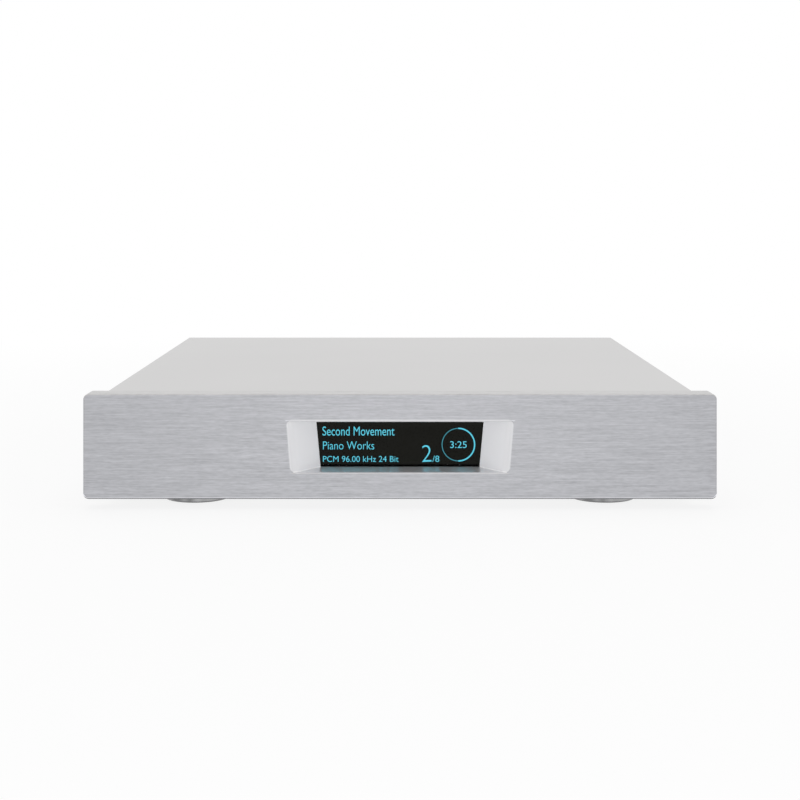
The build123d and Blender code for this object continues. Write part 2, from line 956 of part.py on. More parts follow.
def switch_frame():
    bezel = facing_back(switch_x, rear_face_y, socket_middle) * rounded_plate(
        switch_bezel_width, switch_bezel_height, switch_bezel_radius, switch_bezel_thickness
    )
    back_y = rear_face_y - switch_body_depth
    frame = bezel + block(
        switch_x, switch_body_width, back_y, rear_face_y, socket_middle, switch_body_height
    )
    well = rocker_radius + touch_gap
    frame -= block(
        switch_x, rocker_width + 2 * fit_gap, pivot_y - switch_well_depth,
        rear_face_y + overrun, socket_middle, 2 * well,
    )
    pivot_length = rocker_width + 2 * (trunnion_length + fit_gap)
    frame -= Pos(switch_x - pivot_length / 2, pivot_y, socket_middle) * Rot(0, 90, 0) * rod(
        trunnion_radius + shaft_gap, pivot_length
    )
    for side in (-1, 1):
        frame += block(
            switch_x, lug_width, back_y - lug_length, back_y,
            socket_middle + side * switch_body_height / 4, lug_thickness,
        )
    return frame


def power_rocker():
    """A two-faced key that turns on a pin, drawn level and then tilted to its upper stop."""
    tilt = radians(rocker_tilt)
    reach = sqrt(rocker_radius**2 - (rocker_waist * cos(tilt)) ** 2) - rocker_waist * sin(tilt)
    tip = (reach * cos(tilt), rocker_waist + reach * sin(tilt))
    heel = (sqrt(rocker_radius**2 - rocker_back**2), -rocker_back)
    outline = (
        Line((0, rocker_waist), tip)
        + ThreePointArc(tip, (rocker_radius, 0), heel)
        + Line(heel, (-heel[0], heel[1]))
        + ThreePointArc((-heel[0], heel[1]), (-rocker_radius, 0), (-tip[0], tip[1]))
        + Line((-tip[0], tip[1]), (0, rocker_waist))
    )
    upright = Plane((0, 0, 0), x_dir=(0, 0, 1), z_dir=(-1, 0, 0))
    key = extrude(upright * make_face(outline.edges()), amount=rocker_width / 2, both=True)
    pin_length = rocker_width + 2 * trunnion_length
    key += Pos(-pin_length / 2, 0, 0) * Rot(0, 90, 0) * rod(trunnion_radius, pin_length)
    return Pos(switch_x, pivot_y, socket_middle) * Rot(rocker_tilt, 0, 0) * key


# Ground terminal


def ground_stud():
    place = facing_back(ground_x, rear_face_y, ground_z)
    base = hex_bar(ground_base_across, ground_base_thickness)
    stud = rod(ground_stud_radius, ground_reach)
    neck_length = rear_thickness + ground_lock_thickness + hole_spare
    neck = Pos(0, 0, -neck_length) * rod(ground_stud_radius, neck_length)
    lock = Pos(0, 0, -rear_thickness - ground_lock_thickness) * rod(
        ground_lock_radius, ground_lock_thickness
    )
    return place * (base + stud + neck + lock)


def ground_washer():
    ring = tube(ground_washer_radius, ground_stud_radius + shaft_gap, ground_washer_thickness)
    return facing_back(ground_x, rear_face_y + ground_base_thickness, ground_z) * ring


def ground_nut():
    nut = tube(ground_nut_radius, ground_stud_radius + shaft_gap, ground_nut_length)
    flute = rod(ground_flute_radius, ground_nut_length)
    for i in range(ground_nut_flutes):
        nut -= Rot(0, 0, i * 360 / ground_nut_flutes) * Pos(ground_nut_radius, 0, 0) * flute
    y = rear_face_y + ground_base_thickness + ground_washer_thickness
    return facing_back(ground_x, y, ground_z) * nut


# Data, network and coaxial sockets

usb_face_y = rear_face_y + usb_proud
usb_slot_z = [board_top + usb_height * share for share in usb_slot_shares]
network_face_y = rear_face_y + network_proud
network_mouth_z = board_top + network_height / 2 + network_latch_height / 2
network_mouth_back_y = network_face_y - network_mouth_depth


def usb_socket():
    shell = block(
        usb_x, usb_width, usb_face_y - usb_depth, usb_face_y,
        board_top + usb_height / 2, usb_height,
    )
    for z in usb_slot_z:
        shell -= block(
            usb_x, usb_slot_width, usb_face_y - usb_slot_depth, usb_face_y + overrun, z,
            usb_slot_height,
        )
    return shell


def usb_tongues():
    tongues = Part()
    for z in usb_slot_z:
        top = z + usb_slot_height / 2 - touch_gap
        tongues += block(
            usb_x, usb_tongue_width, usb_face_y - usb_slot_depth,
            usb_face_y - usb_tongue_setback, top - usb_tongue_thickness / 2,
            usb_tongue_thickness,
        )
    return tongues


def network_core(gap, past):
    """The plastic core inside the shell, grown by a gap and run past the mouth."""
    return block(
        network_x, network_width - 2 * network_shell + 2 * gap,
        network_face_y - network_depth + network_shell - gap, network_face_y + past,
        board_top + network_height / 2, network_height - 2 * network_shell + 2 * gap,
    )


def network_socket():
    shell = block(
        network_x, network_width, network_face_y - network_depth, network_face_y,
        board_top + network_height / 2, network_height,
    )
    return shell - network_core(shaft_gap, overrun)


def network_insert():
    insert = network_core(0, 0)
    insert -= block(
        network_x, network_mouth_width, network_mouth_back_y, network_face_y + overrun,
        network_mouth_z, network_mouth_height,
    )
    insert -= block(
        network_x, network_latch_width, network_mouth_back_y, network_face_y + overrun,
        network_mouth_z - network_mouth_height / 2, 2 * network_latch_height,
    )
    return insert


def network_contacts():
    top = network_mouth_z + network_mouth_height / 2 - network_contact_radius
    first = network_x - (network_contact_count - 1) / 2 * network_contact_pitch
    places = [
        facing_back(first + i * network_contact_pitch, network_mouth_back_y, top)
        for i in range(network_contact_count)
    ]
    return group(rod(network_contact_radius, network_contact_length), places)


def coax_socket():
    inside = block(
        coax_x, coax_block_width, rear_inner_y - coax_block_depth, rear_inner_y, coax_z,
        coax_block_height,
    )
    place = facing_back(coax_x, rear_face_y, coax_z)
    neck_length = rear_thickness + coax_nut_thickness
    neck = Pos(0, 0, -rear_thickness) * rod(coax_neck_radius, neck_length)
    barrel = rod(coax_barrel_radius, coax_barrel_reach)
    lug_length = 2 * (coax_barrel_radius + coax_lug_height)
    lug_height = coax_barrel_reach - coax_lug_setback
    lugs = Pos(-lug_length / 2, 0, lug_height) * Rot(0, 90, 0) * rod(coax_lug_radius, lug_length)
    bore = Pos(0, 0, coax_barrel_reach - coax_bore_depth) * rod(
        coax_bore_radius, coax_bore_depth
    )
    return inside + place * (neck + barrel + lugs - bore)


def coax_nut():
    nut = hex_bar(coax_nut_across, coax_nut_thickness)
    nut -= rod(coax_neck_radius + shaft_gap, coax_nut_thickness)
    return facing_back(coax_x, rear_face_y, coax_z) * nut


def coax_core():
    core = rod(coax_core_radius, coax_core_length) - Pos(0, 0, shaft_gap) * rod(
        coax_contact_radius, coax_core_length
    )
    floor_y = rear_face_y + coax_barrel_reach - coax_bore_depth
    return facing_back(coax_x, floor_y, coax_z) * core


# Line and balanced sockets


def line_sockets():
    """Plated barrels with a flange outside the panel and a nut on the neck inside."""
    flange = Pos(0, 0, line_washer_thickness) * rod(line_flange_radius, line_flange_thickness)
    barrel = rod(line_barrel_radius, line_barrel_reach) - Pos(
        0, 0, line_washer_thickness
    ) * rod(line_barrel_bore_radius, line_barrel_reach)
    neck = Pos(0, 0, -line_neck_depth) * rod(line_neck_radius, line_neck_depth)
    nut_z = -rear_thickness - line_nut_thickness
    nut = Pos(0, 0, nut_z) * hex_bar(line_nut_across, line_nut_thickness)
    socket = flange + barrel + neck + nut
    bore = Pos(0, 0, line_washer_thickness) * rod(line_barrel_bore_radius, line_barrel_reach)
    places = [facing_back(x, rear_face_y, socket_middle) for x in line_x.values()]
    return group(socket - bore, places)


def line_insulator(x):
    """The coloured core of a line socket, with the hole for the plug's pin."""
    core_length = line_barrel_reach - line_washer_thickness - touch_gap
    core = Pos(0, 0, line_washer_thickness) * rod(line_barrel_bore_radius, core_length)
    top = line_washer_thickness + core_length
    core -= Pos(0, 0, top - line_contact_depth) * rod(line_contact_radius, line_contact_depth)
    return facing_back(x, rear_face_y, socket_middle) * core


def line_washers():
    ring = tube(line_washer_radius, line_barrel_radius + shaft_gap, line_washer_thickness)
    return group(ring, [facing_back(x, rear_face_y, socket_middle) for x in line_x.values()])


def balanced_socket(x):
    """A round shell on a square flange, with a keyway at the top of its bore."""
    flange = rounded_plate(
        balanced_flange_width, balanced_flange_height, balanced_flange_radius,
        balanced_flange_thickness,
    )
    body = Pos(0, 0, -balanced_body_depth) * rod(balanced_body_radius, balanced_body_depth)
    floor_z = balanced_flange_thickness - balanced_bore_depth
    bore = Pos(0, 0, floor_z) * rod(balanced_bore_radius, balanced_bore_depth)
    keyway = Pos(0, balanced_bore_radius, floor_z) * Box(
        balanced_key_width, 2 * balanced_key_depth, balanced_bore_depth, align=BOTTOM
    )
    shell = flange + body - bore - keyway
    pin_hole = Pos(0, 0, -balanced_body_depth) * rod(
        balanced_pin_radius + shaft_gap, balanced_body_depth
    )
    for pin_x, pin_z in balanced_pin_places:
        shell -= Pos(pin_x, pin_z, 0) * pin_hole
    socket = facing_back(x, rear_face_y, socket_middle) * Rot(0, 0, 180) * shell
    sink = flush_hole(m3_head_radius, m3_head_height, m3_radius, balanced_flange_thickness)
    for place in flange_screw_places[2:]:
        if abs(place.position.X - x) < balanced_flange_width / 2:
            socket -= place * sink
    return socket


balanced_pin_places = [
    (-balanced_pin_spread, balanced_pin_rise),
    (balanced_pin_spread, balanced_pin_rise),
    (0, -balanced_pin_drop),
]


def balanced_pins():
    tip = balanced_flange_thickness - balanced_pin_setback
    length = tip + balanced_body_depth + balanced_pin_tail
    pin = rod(balanced_pin_radius, length)
    pin = fillet(pin.edges().group_by(Axis.Z)[-1], balanced_pin_radius / 2)
    start = Pos(0, 0, tip - length)
    places = [
        facing_back(x, rear_face_y, socket_middle) * Rot(0, 0, 180) * Pos(px, pz, 0) * start
        for x in balanced_x.values()
        for px, pz in balanced_pin_places
    ]
    return group(pin, places)


# Circuit boards and what they carry

main_board_x = (
    usb_x - usb_width / 2 - board_side_margin,
    coax_x + coax_block_width / 2 + board_side_margin,
)
main_board_y = (board_rear_y - main_board_depth, board_rear_y)
analog_board_x = (
    main_board_x[1] + board_side_gap,
    balanced_x["right"] + analog_board_overhang,
)
analog_board_y = (main_board_y[0], board_rear_y - analog_board_rear_gap)
analog_board_depth = analog_board_y[1] - analog_board_y[0]
power_board_x = (
    -plate_half + power_board_wall_gap,
    switch_x + power_board_overhang,
)
power_board_y = (
    rear_inner_y - power_board_rear_gap - power_board_depth,
    rear_inner_y - power_board_rear_gap,
)
board_outlines = {
    "main": (main_board_x, main_board_y),
    "analog": (analog_board_x, analog_board_y),
    "power": (power_board_x, power_board_y),
}
header_x = 0
transformer_place = (
    plate_half * transformer_x_share,
    bracket_back_y + bay_depth * transformer_y_share,
)


def corners(outline):
    """The four screw places of a board."""
    (x0, x1), (y0, y1) = outline
    return [
        (x, y)
        for x in (x0 + board_hole_inset, x1 - board_hole_inset)
        for y in (y0 + board_hole_inset, y1 - board_hole_inset)
    ]


all_corners = [place for outline in board_outlines.values() for place in corners(outline)]


def circuit_board(name):
    (x0, x1), (y0, y1) = board_outlines[name]
    board = span(x0, x1, y0, y1, board_bottom, board_top)
    for x, y in corners(board_outlines[name]):
        board -= Pos(x, y, board_bottom) * rod(m25_radius + fit_gap, board_thickness)
    return board


def main_board():
    """The main board, with the socket at its front edge for the display's flat cable."""
    y0 = main_board_y[0] + fit_gap
    header = span(
        header_x - header_width / 2, header_x + header_width / 2, y0, y0 + header_depth,
        board_top, board_top + header_height,
    )
    return circuit_board("main") + header


def board_standoffs():
    """Posts under the boards, and short ones between the bracket and the display's board."""
    post = tube(standoff_radius, m25_radius + fit_gap, standoff_height)
    spacer = tube(standoff_radius, m25_radius + fit_gap, display_back_y - bracket_back_y)
    posts = group(post, [Pos(x, y, base_top) for x, y in all_corners])
    return posts + group(
        spacer, [facing_back(x, bracket_back_y, z) for x, z in display_hole_places]
    )


def board_screws():
    """The screws that hold the boards, the display's board among them."""
    long_shank = board_thickness + standoff_height - hole_spare
    long_screw = screw(m25_head_radius, m25_head_height, m25_radius, long_shank)
    short_shank = display_board_back_y - panel_back_y
    short_screw = screw(m25_head_radius, m25_head_height, m25_radius, short_shank)
    display_places = [facing_back(x, display_board_back_y, z) for x, z in display_hole_places]
    return group(long_screw, [Pos(x, y, board_top) for x, y in all_corners]) + group(
        short_screw, display_places
    )


processor_place = (
    sum(main_board_x) / 2,
    main_board_y[0] + main_board_depth * processor_y_share,
)
chip_bottom = board_top + processor_rise + processor_thickness


def processor_module():
    """A small board standing on two header strips."""
    x, y = processor_place
    low = board_top + processor_rise
    card = Pos(x, y, low) * Box(processor_width, processor_depth, processor_thickness, align=BOTTOM)
    for side in (-1, 1):
        strip_x = x + side * (processor_width / 2 - processor_rise)
        card += Pos(strip_x, y, board_top) * Box(
            processor_rise, processor_depth, processor_rise, align=BOTTOM
        )
    return card


def processor_sink():
    """A finned block that stands on the processor's chip."""
    x, y = processor_place
    low = chip_bottom + processor_chip_thickness
    sink = Box(sink_width, sink_depth, sink_height, align=BOTTOM)
    channel = (sink_width - sink_fin_thickness) / (sink_fin_count - 1) - sink_fin_thickness
    pitch = channel + sink_fin_thickness
    for i in range(sink_fin_count - 1):
        middle = -sink_width / 2 + sink_fin_thickness + channel / 2 + i * pitch
        sink -= Pos(middle, 0, sink_base) * Box(channel, sink_depth, sink_height, align=BOTTOM)
    return Pos(x, y, low) * sink


def can(radius, height):
    """An electrolytic capacitor with a bevelled top."""
    body = rod(radius, height)
    return chamfer(body.edges().group_by(Axis.Z)[-1], can_bevel)


def row(centre_x, y, pitch, count):
    """Places in a line across, standing on a board."""
    return [
        Pos(centre_x + (i - (count - 1) / 2) * pitch, y, board_top) for i in range(count)
    ]


def capacitors():
    """Small ones in front of the processor, and large ones where the power comes in."""
    y = main_board_y[0] + processor_depth / 2
    places = row(processor_place[0], y, capacitor_pitch, main_capacitor_count)
    small = group(can(capacitor_radius, capacitor_height), places)
    y = power_board_y[0] + reservoir_radius + 2 * board_hole_inset
    pitch = 2 * reservoir_radius + reservoir_gap
    places = row(sum(power_board_x) / 2, y, pitch, reservoir_count)
    return small + group(can(reservoir_radius, reservoir_height), places)


power_sink_y = power_board_y[0] + power_board_depth * power_sink_y_share


def power_sink():
    """An upright plate with a foot along its lower edge."""
    x = sum(power_board_x) / 2
    wall = Pos(x, power_sink_y, board_top) * Box(
        power_sink_width, power_sink_thickness, power_sink_height, align=BOTTOM
    )
    foot_y = power_sink_y + (power_sink_foot - power_sink_thickness) / 2
    return wall + Pos(x, foot_y, board_top) * Box(
        power_sink_width, power_sink_foot, power_sink_thickness, align=BOTTOM
    )


def heat_sinks():
    return processor_sink() + power_sink()


def board_chips():
    """The processor, the two converters, and the power devices held flat against the front
    of the upright heat sink."""
    processor = Box(
        processor_chip_size, processor_chip_size, processor_chip_thickness, align=BOTTOM
    )
    chips = Pos(*processor_place, chip_bottom) * processor
    converter = Box(converter_size, converter_size, converter_thickness, align=BOTTOM)
    y = analog_board_y[0] + analog_board_depth * converter_y_share
    chips += group(converter, row(sum(analog_board_x) / 2, y, converter_pitch, 2))
    regulator = Box(regulator_width, regulator_thickness, regulator_height, align=BOTTOM)
    y = power_sink_y - power_sink_thickness / 2 - regulator_thickness / 2
    pitch = power_sink_width / regulator_count
    return chips + group(regulator, row(sum(power_board_x) / 2, y, pitch, regulator_count))


def coupling_transformers():
    y = analog_board_y[0] + analog_board_depth * coupler_y_share
    one = Box(coupler_width, coupler_depth, coupler_height, align=BOTTOM)
    one = fillet(one.edges().filter_by(Axis.Z), can_bevel)
    return group(one, row(sum(analog_board_x) / 2, y, coupler_pitch, coupler_count))


# Mains transformer


def at_transformer(z):
    return Pos(*transformer_place, z)


ring_bottom = base_top + ring_pad_thickness
ring_top = ring_bottom + ring_height
clamp_bottom = ring_top + ring_pad_thickness


def transformer_ring():
    ring = tube(ring_radius, ring_bore_radius, ring_height)
    return at_transformer(ring_bottom) * fillet(
        ring.edges().filter_by(GeomType.CIRCLE), ring_edge_radius
    )


def transformer_pads():
    pad = tube(ring_radius - ring_edge_radius, clamp_bolt_radius + fit_gap, ring_pad_thickness)
    return group(pad, [at_transformer(base_top), at_transformer(ring_top)])


def transformer_clamp():
    plate = rod(clamp_radius, clamp_thickness)
    dish = Pos(0, 0, clamp_thickness) * Cone(
        clamp_radius / 3, clamp_radius / 3 - clamp_dish, clamp_dish, align=BOTTOM
    )
    bore = rod(clamp_bolt_radius + fit_gap, clamp_thickness + clamp_dish)
    return at_transformer(clamp_bottom) * (plate + dish - bore)


def transformer_bolt():
    head_bottom = clamp_bottom + clamp_thickness + clamp_dish
    shank = Pos(0, 0, base_bottom) * rod(clamp_bolt_radius, head_bottom - base_bottom)
    head = Pos(0, 0, head_bottom) * hex_bar(clamp_bolt_head_across, clamp_bolt_head_height)
    return Pos(*transformer_place, 0) * (shank + head)


# Leads


def lead(points):
    """An insulated wire along straight runs joined by the largest round bends they allow."""
    vectors = [Vector(*point) for point in points]
    radii = []
    for before, here, after in zip(vectors, vectors[1:], vectors[2:]):
        shorter = min((here - before).length, (after - here).length)
        turn = (here - before).get_angle(after - here)
        radii.append(lead_bend_share * shorter / tan(radians(turn) / 2))
    path = FilletPolyline(*vectors, radius=radii)
    start = Plane(origin=path @ 0, z_dir=path % 0)
    return sweep(start * Circle(lead_radius), path=path)


def falling_lead(x, start_y, z, turn_y):
    """A lead that leaves a tag towards the front and turns down onto its board."""
    return lead([(x, start_y, z), (x, turn_y, z), (x, turn_y, board_top)])


def bridge_lead(x0, x1, share):
    """A lead that arches from one board to its neighbour."""
    y = main_board_y[0] + main_board_depth * share
    top = board_top + bridge_rise
    return lead([(x0, y, board_top), (x0, y, top), (x1, y, top), (x1, y, board_top)])


def mains_leads():
    """From the inlet's tags to the power board, one of them by way of the switch."""
    tag_y = inlet_back_y - lug_length
    switch_tag_y = rear_face_y - switch_body_depth - lug_length
    board_y = power_board_y[1] - lead_inset
    neutral, live, earth = blade_places
    upper = socket_middle + switch_body_height / 4
    lower = socket_middle - switch_body_height / 4
    loop_y = tag_y - lead_loop
    return [
        falling_lead(neutral[0], tag_y, neutral[1], board_y),
        falling_lead(earth[0], tag_y, earth[1], board_y),
        falling_lead(switch_x, switch_tag_y, lower, board_y),
        lead([
            (live[0], tag_y, live[1]), (live[0], loop_y, live[1]),
            (switch_x, loop_y, upper), (switch_x, switch_tag_y, upper),
        ]),
    ]


def winding_leads():
    """From the side of the transformer to the front edge of the power board."""
    x, y = transformer_place
    z = ring_bottom + ring_height / 2
    wires = []
    for i in range(winding_lead_count):
        off = (i - (winding_lead_count - 1) / 2) * winding_lead_pitch
        start_y = y + sqrt(ring_radius**2 - (abs(off) - lead_radius) ** 2) + touch_gap
        wires.append(falling_lead(x + off, start_y, z, power_board_y[0] + lead_inset))
    return wires


def output_leads():
    """From the tails of the output sockets to the rear edge of the analogue board."""
    board_y = analog_board_y[1] - lead_inset
    tail_y = rear_face_y - balanced_body_depth - balanced_pin_tail
    neck_y = rear_face_y - line_neck_depth
    wires = [
        falling_lead(x + px, tail_y, socket_middle + pz, board_y)
        for x in balanced_x.values()
        for px, pz in balanced_pin_places
    ]
    return wires + [falling_lead(x, neck_y, socket_middle, board_y) for x in line_x.values()]


def leads():
    wires = mains_leads() + winding_leads() + output_leads()
    power_edge = power_board_x[1] - lead_inset
    main_edges = (main_board_x[0] + lead_inset, main_board_x[1] - lead_inset)
    signal_edge = analog_board_x[0] + lead_inset
    wires += [bridge_lead(power_edge, main_edges[0], share) for share in power_bridge_shares]
    wires += [bridge_lead(main_edges[1], signal_edge, share) for share in signal_bridge_shares]
    return Part() + wires


def display_ribbon():
    """A flat cable from the display, down behind it and back along the floor of the case."""
    start_y = display_board_back_y + display_socket_depth
    floor_z = base_top + ribbon_drop
    turn_y = start_y + 2 * ribbon_bend_radius + ribbon_thickness
    header_z = board_top + header_height / 2
    end_y = main_board_y[0]
    rise_y = end_y - 2 * ribbon_bend_radius - ribbon_thickness
    path = FilletPolyline(
        (header_x, start_y, panel_middle), (header_x, turn_y, panel_middle),
        (header_x, turn_y, floor_z), (header_x, rise_y, floor_z),
        (header_x, rise_y, header_z), (header_x, end_y + fit_gap, header_z),
        radius=ribbon_bend_radius,
    )
    start = Plane(origin=path @ 0, x_dir=(1, 0, 0), z_dir=path % 0)
    return sweep(start * Rectangle(ribbon_width, ribbon_thickness), path=path)


nodes = {
    "front_panel": front_panel,
    "display_window": display_window,
    "window_gasket": window_gasket,
    "display_panel": display_panel,
    "display_board": display_board,
    "front_bracket": front_bracket,
    "top_cover": top_cover,
    "corner_posts": corner_posts,
    "base_plate": base_plate,
    "rear_panel": rear_panel,
    "foot_pads": foot_pads,
    "foot_screws": foot_screws,
    "foot_nuts": foot_nuts,
    "panel_screws": panel_screws,
    "rear_screws": rear_screws,
    "flush_screws": flush_screws,
    "mains_inlet": mains_inlet,
    "inlet_blades": inlet_blades,
    "fuse_drawer": fuse_drawer,
    "fuse_link": fuse_link,
    "switch_frame": switch_frame,
    "power_rocker": power_rocker,
    "ground_stud": ground_stud,
    "ground_washer": ground_washer,
    "ground_nut": ground_nut,
    "usb_socket": usb_socket,
    "usb_tongues": usb_tongues,
    "network_socket": network_socket,
    "network_insert": network_insert,
    "network_contacts": network_contacts,
    "coax_socket": coax_socket,
    "coax_nut": coax_nut,
    "coax_core": coax_core,
    "line_sockets": line_sockets,
    "line_washers": line_washers,
    "balanced_pins": balanced_pins,
    "board_standoffs": board_standoffs,
    "board_screws": board_screws,
    "main_board": main_board,
    "processor_module": processor_module,
    "board_chips": board_chips,
    "heat_sinks": heat_sinks,
    "capacitors": capacitors,
    "coupling_transformers": coupling_transformers,
    "transformer_ring": transformer_ring,
    "transformer_pads": transformer_pads,
    "transformer_clamp": transformer_clamp,
    "transformer_bolt": transformer_bolt,
    "leads": leads,
    "display_ribbon": display_ribbon,
}


def build():
    pieces = {name: make() for name, make in nodes.items()}
    for name, place in foot_places.items():
        pieces["foot_" + name] = foot(place)
    for side, x in line_x.items():
        pieces["line_insulator_" + side] = line_insulator(x)
    for side, x in balanced_x.items():
        pieces["balanced_socket_" + side] = balanced_socket(x)
    for name in ("analog", "power"):
        pieces[name + "_board"] = circuit_board(name)
    return pieces


os.makedirs("parts", exist_ok=True)
for name, piece in build().items():
    export_step(piece, f"parts/{name}.step")
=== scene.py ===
"""A network music streamer dressed for display: finishes for each piece of its frame, the lit
page behind its window, the marks on its rear, and a plain studio."""

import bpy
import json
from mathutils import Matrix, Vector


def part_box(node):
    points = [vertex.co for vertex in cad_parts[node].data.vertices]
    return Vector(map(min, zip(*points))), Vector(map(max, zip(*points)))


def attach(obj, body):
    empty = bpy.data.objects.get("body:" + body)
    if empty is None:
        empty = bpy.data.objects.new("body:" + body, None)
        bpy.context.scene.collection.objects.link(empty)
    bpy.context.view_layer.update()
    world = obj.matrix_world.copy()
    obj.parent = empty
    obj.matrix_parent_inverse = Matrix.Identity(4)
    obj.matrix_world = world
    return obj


bl_info = {
    "name": "Network Music Streamer",
    "version": (1, 0, 0),
    "blender": (4, 5, 0),
    "location": "View3D > Sidebar > Streamer",
    "description": "Finishes, display page, printed marks and studio of a music streamer",
    "category": "Object",
}

import json
from math import pi

import bpy
from mathutils import Matrix, Vector

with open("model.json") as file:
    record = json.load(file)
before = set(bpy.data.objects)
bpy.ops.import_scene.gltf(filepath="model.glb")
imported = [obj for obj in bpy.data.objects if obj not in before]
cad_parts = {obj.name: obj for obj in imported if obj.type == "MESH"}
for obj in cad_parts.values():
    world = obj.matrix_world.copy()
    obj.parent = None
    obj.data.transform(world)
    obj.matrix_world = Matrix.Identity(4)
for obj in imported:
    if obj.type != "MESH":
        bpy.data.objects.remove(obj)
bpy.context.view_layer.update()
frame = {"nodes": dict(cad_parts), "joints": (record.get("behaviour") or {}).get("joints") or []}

FACES_FRONT = (pi / 2, 0, 0)
FACES_REAR = (pi / 2, 0, pi)
WHITE = (1.0, 1.0, 1.0)
RING_SIDES = 128
LETTER_STEPS = 6
MERGE_GAP = 0.0001
PRINT_WEIGHT, PRINT_WIDTH_SHARE = 0.018, 0.88
ROCKER_KEY_AREA, ROCKER_KEY_FACING = 0.00001, 0.85
SENSOR_WIDTH, NEAREST_SEEN, FARTHEST_SEEN = 36, 0.01, 100


def low(node):
    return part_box(node)[0]


def high(node):
    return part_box(node)[1]


def middle(node):
    return (low(node) + high(node)) / 2


front_y = low("front_panel").y
display_face_y = low("display_panel").y
panel_middle_z = middle("front_panel").z
rear_face_y = high("rear_panel").y
switch_pivot_z = next(j["pos_m"][2] for j in frame["joints"] if j["name"] == "power_switch")


# Sizes and colours that a user may change


def measure(name, description, default, **kind):
    return bpy.props.FloatProperty(name=name, description=description, default=default, **kind)


def length(name, description, default):
    return measure(
        name, description, default, min=0.0, precision=5, subtype="DISTANCE", unit="LENGTH"
    )


def share(name, description, default):
    return measure(name, description, default, min=0.0, max=1.0, subtype="FACTOR")


def level(name, description, default):
    return measure(name, description, default, min=0.0)


def tint(name, description, default):
    return bpy.props.FloatVectorProperty(
        name=name, description=description, default=default, min=0.0, max=1.0, subtype="COLOR"
    )


def words(name, description, default):
    return bpy.props.StringProperty(name=name, description=description, default=default)


class StreamerLooks(bpy.types.PropertyGroup):
    """Colours and textures of the case, its fittings and what is inside."""

    # These three are one aluminium. Their tones differ partly by finish and partly as painted
    # light: the upright front is darker as painted shade, and the scoop and the top cover are
    # lighter as painted light.
    front: tint("Front Panel", "Brushed aluminium of the front panel", (0.446, 0.449, 0.472))
    recess: tint("Recess", "Satin aluminium of the scoop round the display", (0.84, 0.84, 0.86))
    cover: tint("Cover", "Satin aluminium of the top cover", (0.608, 0.602, 0.6))
    rear: tint("Rear Panel", "Satin aluminium of the rear panel", (0.5, 0.5, 0.505))
    posts: tint("Posts", "Milled aluminium of the corner posts", (0.55, 0.55, 0.56))
    feet: tint("Feet", "Turned aluminium of the feet", (0.42, 0.42, 0.425))
    steel: tint("Inner Steel", "Zinc plated sheet inside the case", (0.5, 0.51, 0.53))
    screws: tint("Screws", "Stainless steel of the screws", (0.42, 0.42, 0.43))
    rubber: tint("Rubber", "Rubber of the foot pads and washers", (0.025, 0.025, 0.025))
    plastic: tint("Plastic", "Moulded plastic of the sockets", (0.018, 0.018, 0.019))
    nickel: tint("Nickel", "Nickel plate of the connectors", (0.62, 0.61, 0.59))
    gold: tint("Gold", "Gold plate of contacts and terminals", (0.78, 0.56, 0.22))
    tin: tint("Tin", "Tinned steel of the data sockets", (0.58, 0.59, 0.6))
    board: tint("Board", "Solder mask of the circuit boards", (0.012, 0.085, 0.035))
    ink: tint("Ink", "Ink of the marks on the rear panel", (0.03, 0.03, 0.032))
    window: tint("Window", "Tint of the display window", (0.05, 0.051, 0.052))
    brush_length: length("Brush Length", "How long a brushed line runs", 0.022)
    brush_width: length("Brush Width", "How wide a brushed line is", 0.0007)
    brush_contrast: share("Brush Contrast", "How far the brushed lines differ in tone", 0.2)
    grain: length("Grain", "Size of the grain on satin aluminium and plastic", 0.0005)


class StreamerPage(bpy.types.PropertyGroup):
    """What the display shows, and how brightly."""

    light: tint("Light", "Colour of the lit page", (0.09, 0.47, 0.58))
    strength: level("Strength", "How brightly the page is lit", 28.0)
    # The glow is painted light on the unlit face of the display.
    glow: level("Glow", "How brightly the unlit face of the display glows", 0.185)
    dim_share: share("Dim Share", "Brightness of the time that is left, of the lit part", 0.45)
    title: words("Title", "First line", "Second Movement")
    album: words("Album", "Second line", "Piano Works")
    sound: words("Sound", "Third line", "PCM 96.00 kHz 24 Bit")
    number: words("Number", "Track number", "2")
    total: words("Total", "Tracks in all", "/8")
    time: words("Time", "Time inside the ring", "3:25")
    raise_by: length("Thickness", "How far the lit page stands on the display", 0.00008)
    ring_radius: length("Ring Radius", "Middle radius of the time ring", 0.00915)
    ring_line: length("Ring Line", "Width of the ring where it is lit", 0.00075)
    ring_rest: length("Ring Rest", "Width of the ring where it is dim", 0.00045)
    ring_x: length("Ring Place", "The ring's middle, from the middle of the display", 0.0328)
    ring_z: measure(
        "Ring Height", "The ring's middle, from the middle of the display", -0.0014,
        subtype="DISTANCE", unit="LENGTH",
    )


class StreamerMarks(bpy.types.PropertyGroup):
    """Printed marks on the rear panel and the power switch."""

    letter_height: length("Letters", "Height of the words on the rear panel", 0.0026)
    channel_height: length("Channels", "Height of the channel letters", 0.003)
    thickness: length("Thickness", "How far the ink stands proud", 0.00003)
    line: length("Line", "Width of drawn lines", 0.0006)
    rocker_mark: length("Rocker Marks", "Height of the marks on the power switch", 0.0038)


class StreamerStudio(bpy.types.PropertyGroup):
    """The camera, the floor and the lamps."""

    distance: length("Distance", "From the camera to the front panel", 0.8444)
    height: length("Height", "Height of the camera above the floor", 0.1712)
    lens: measure("Lens", "Focal length of the camera", 68.83, min=1.0, unit="CAMERA")
    shift: measure("Shift", "Upward shift of the lens, of the frame", -0.2508)
    floor_size: length("Floor", "Side of the square floor", 12.0)
    sky: level("Sky", "Strength of the light from all round", 0.62)
    top_lamp: level("Top Lamp", "Power of the softbox overhead", 7.0)
    side_lamps: level("Side Lamps", "Power of each softbox at the sides", 2.2)
    front_lamp: level("Front Lamp", "Power of the low strip behind the camera", 0.68)
    low_lamps: level("Low Lamps", "Power of each low strip beside it", 0.09)


# Drawing a finish


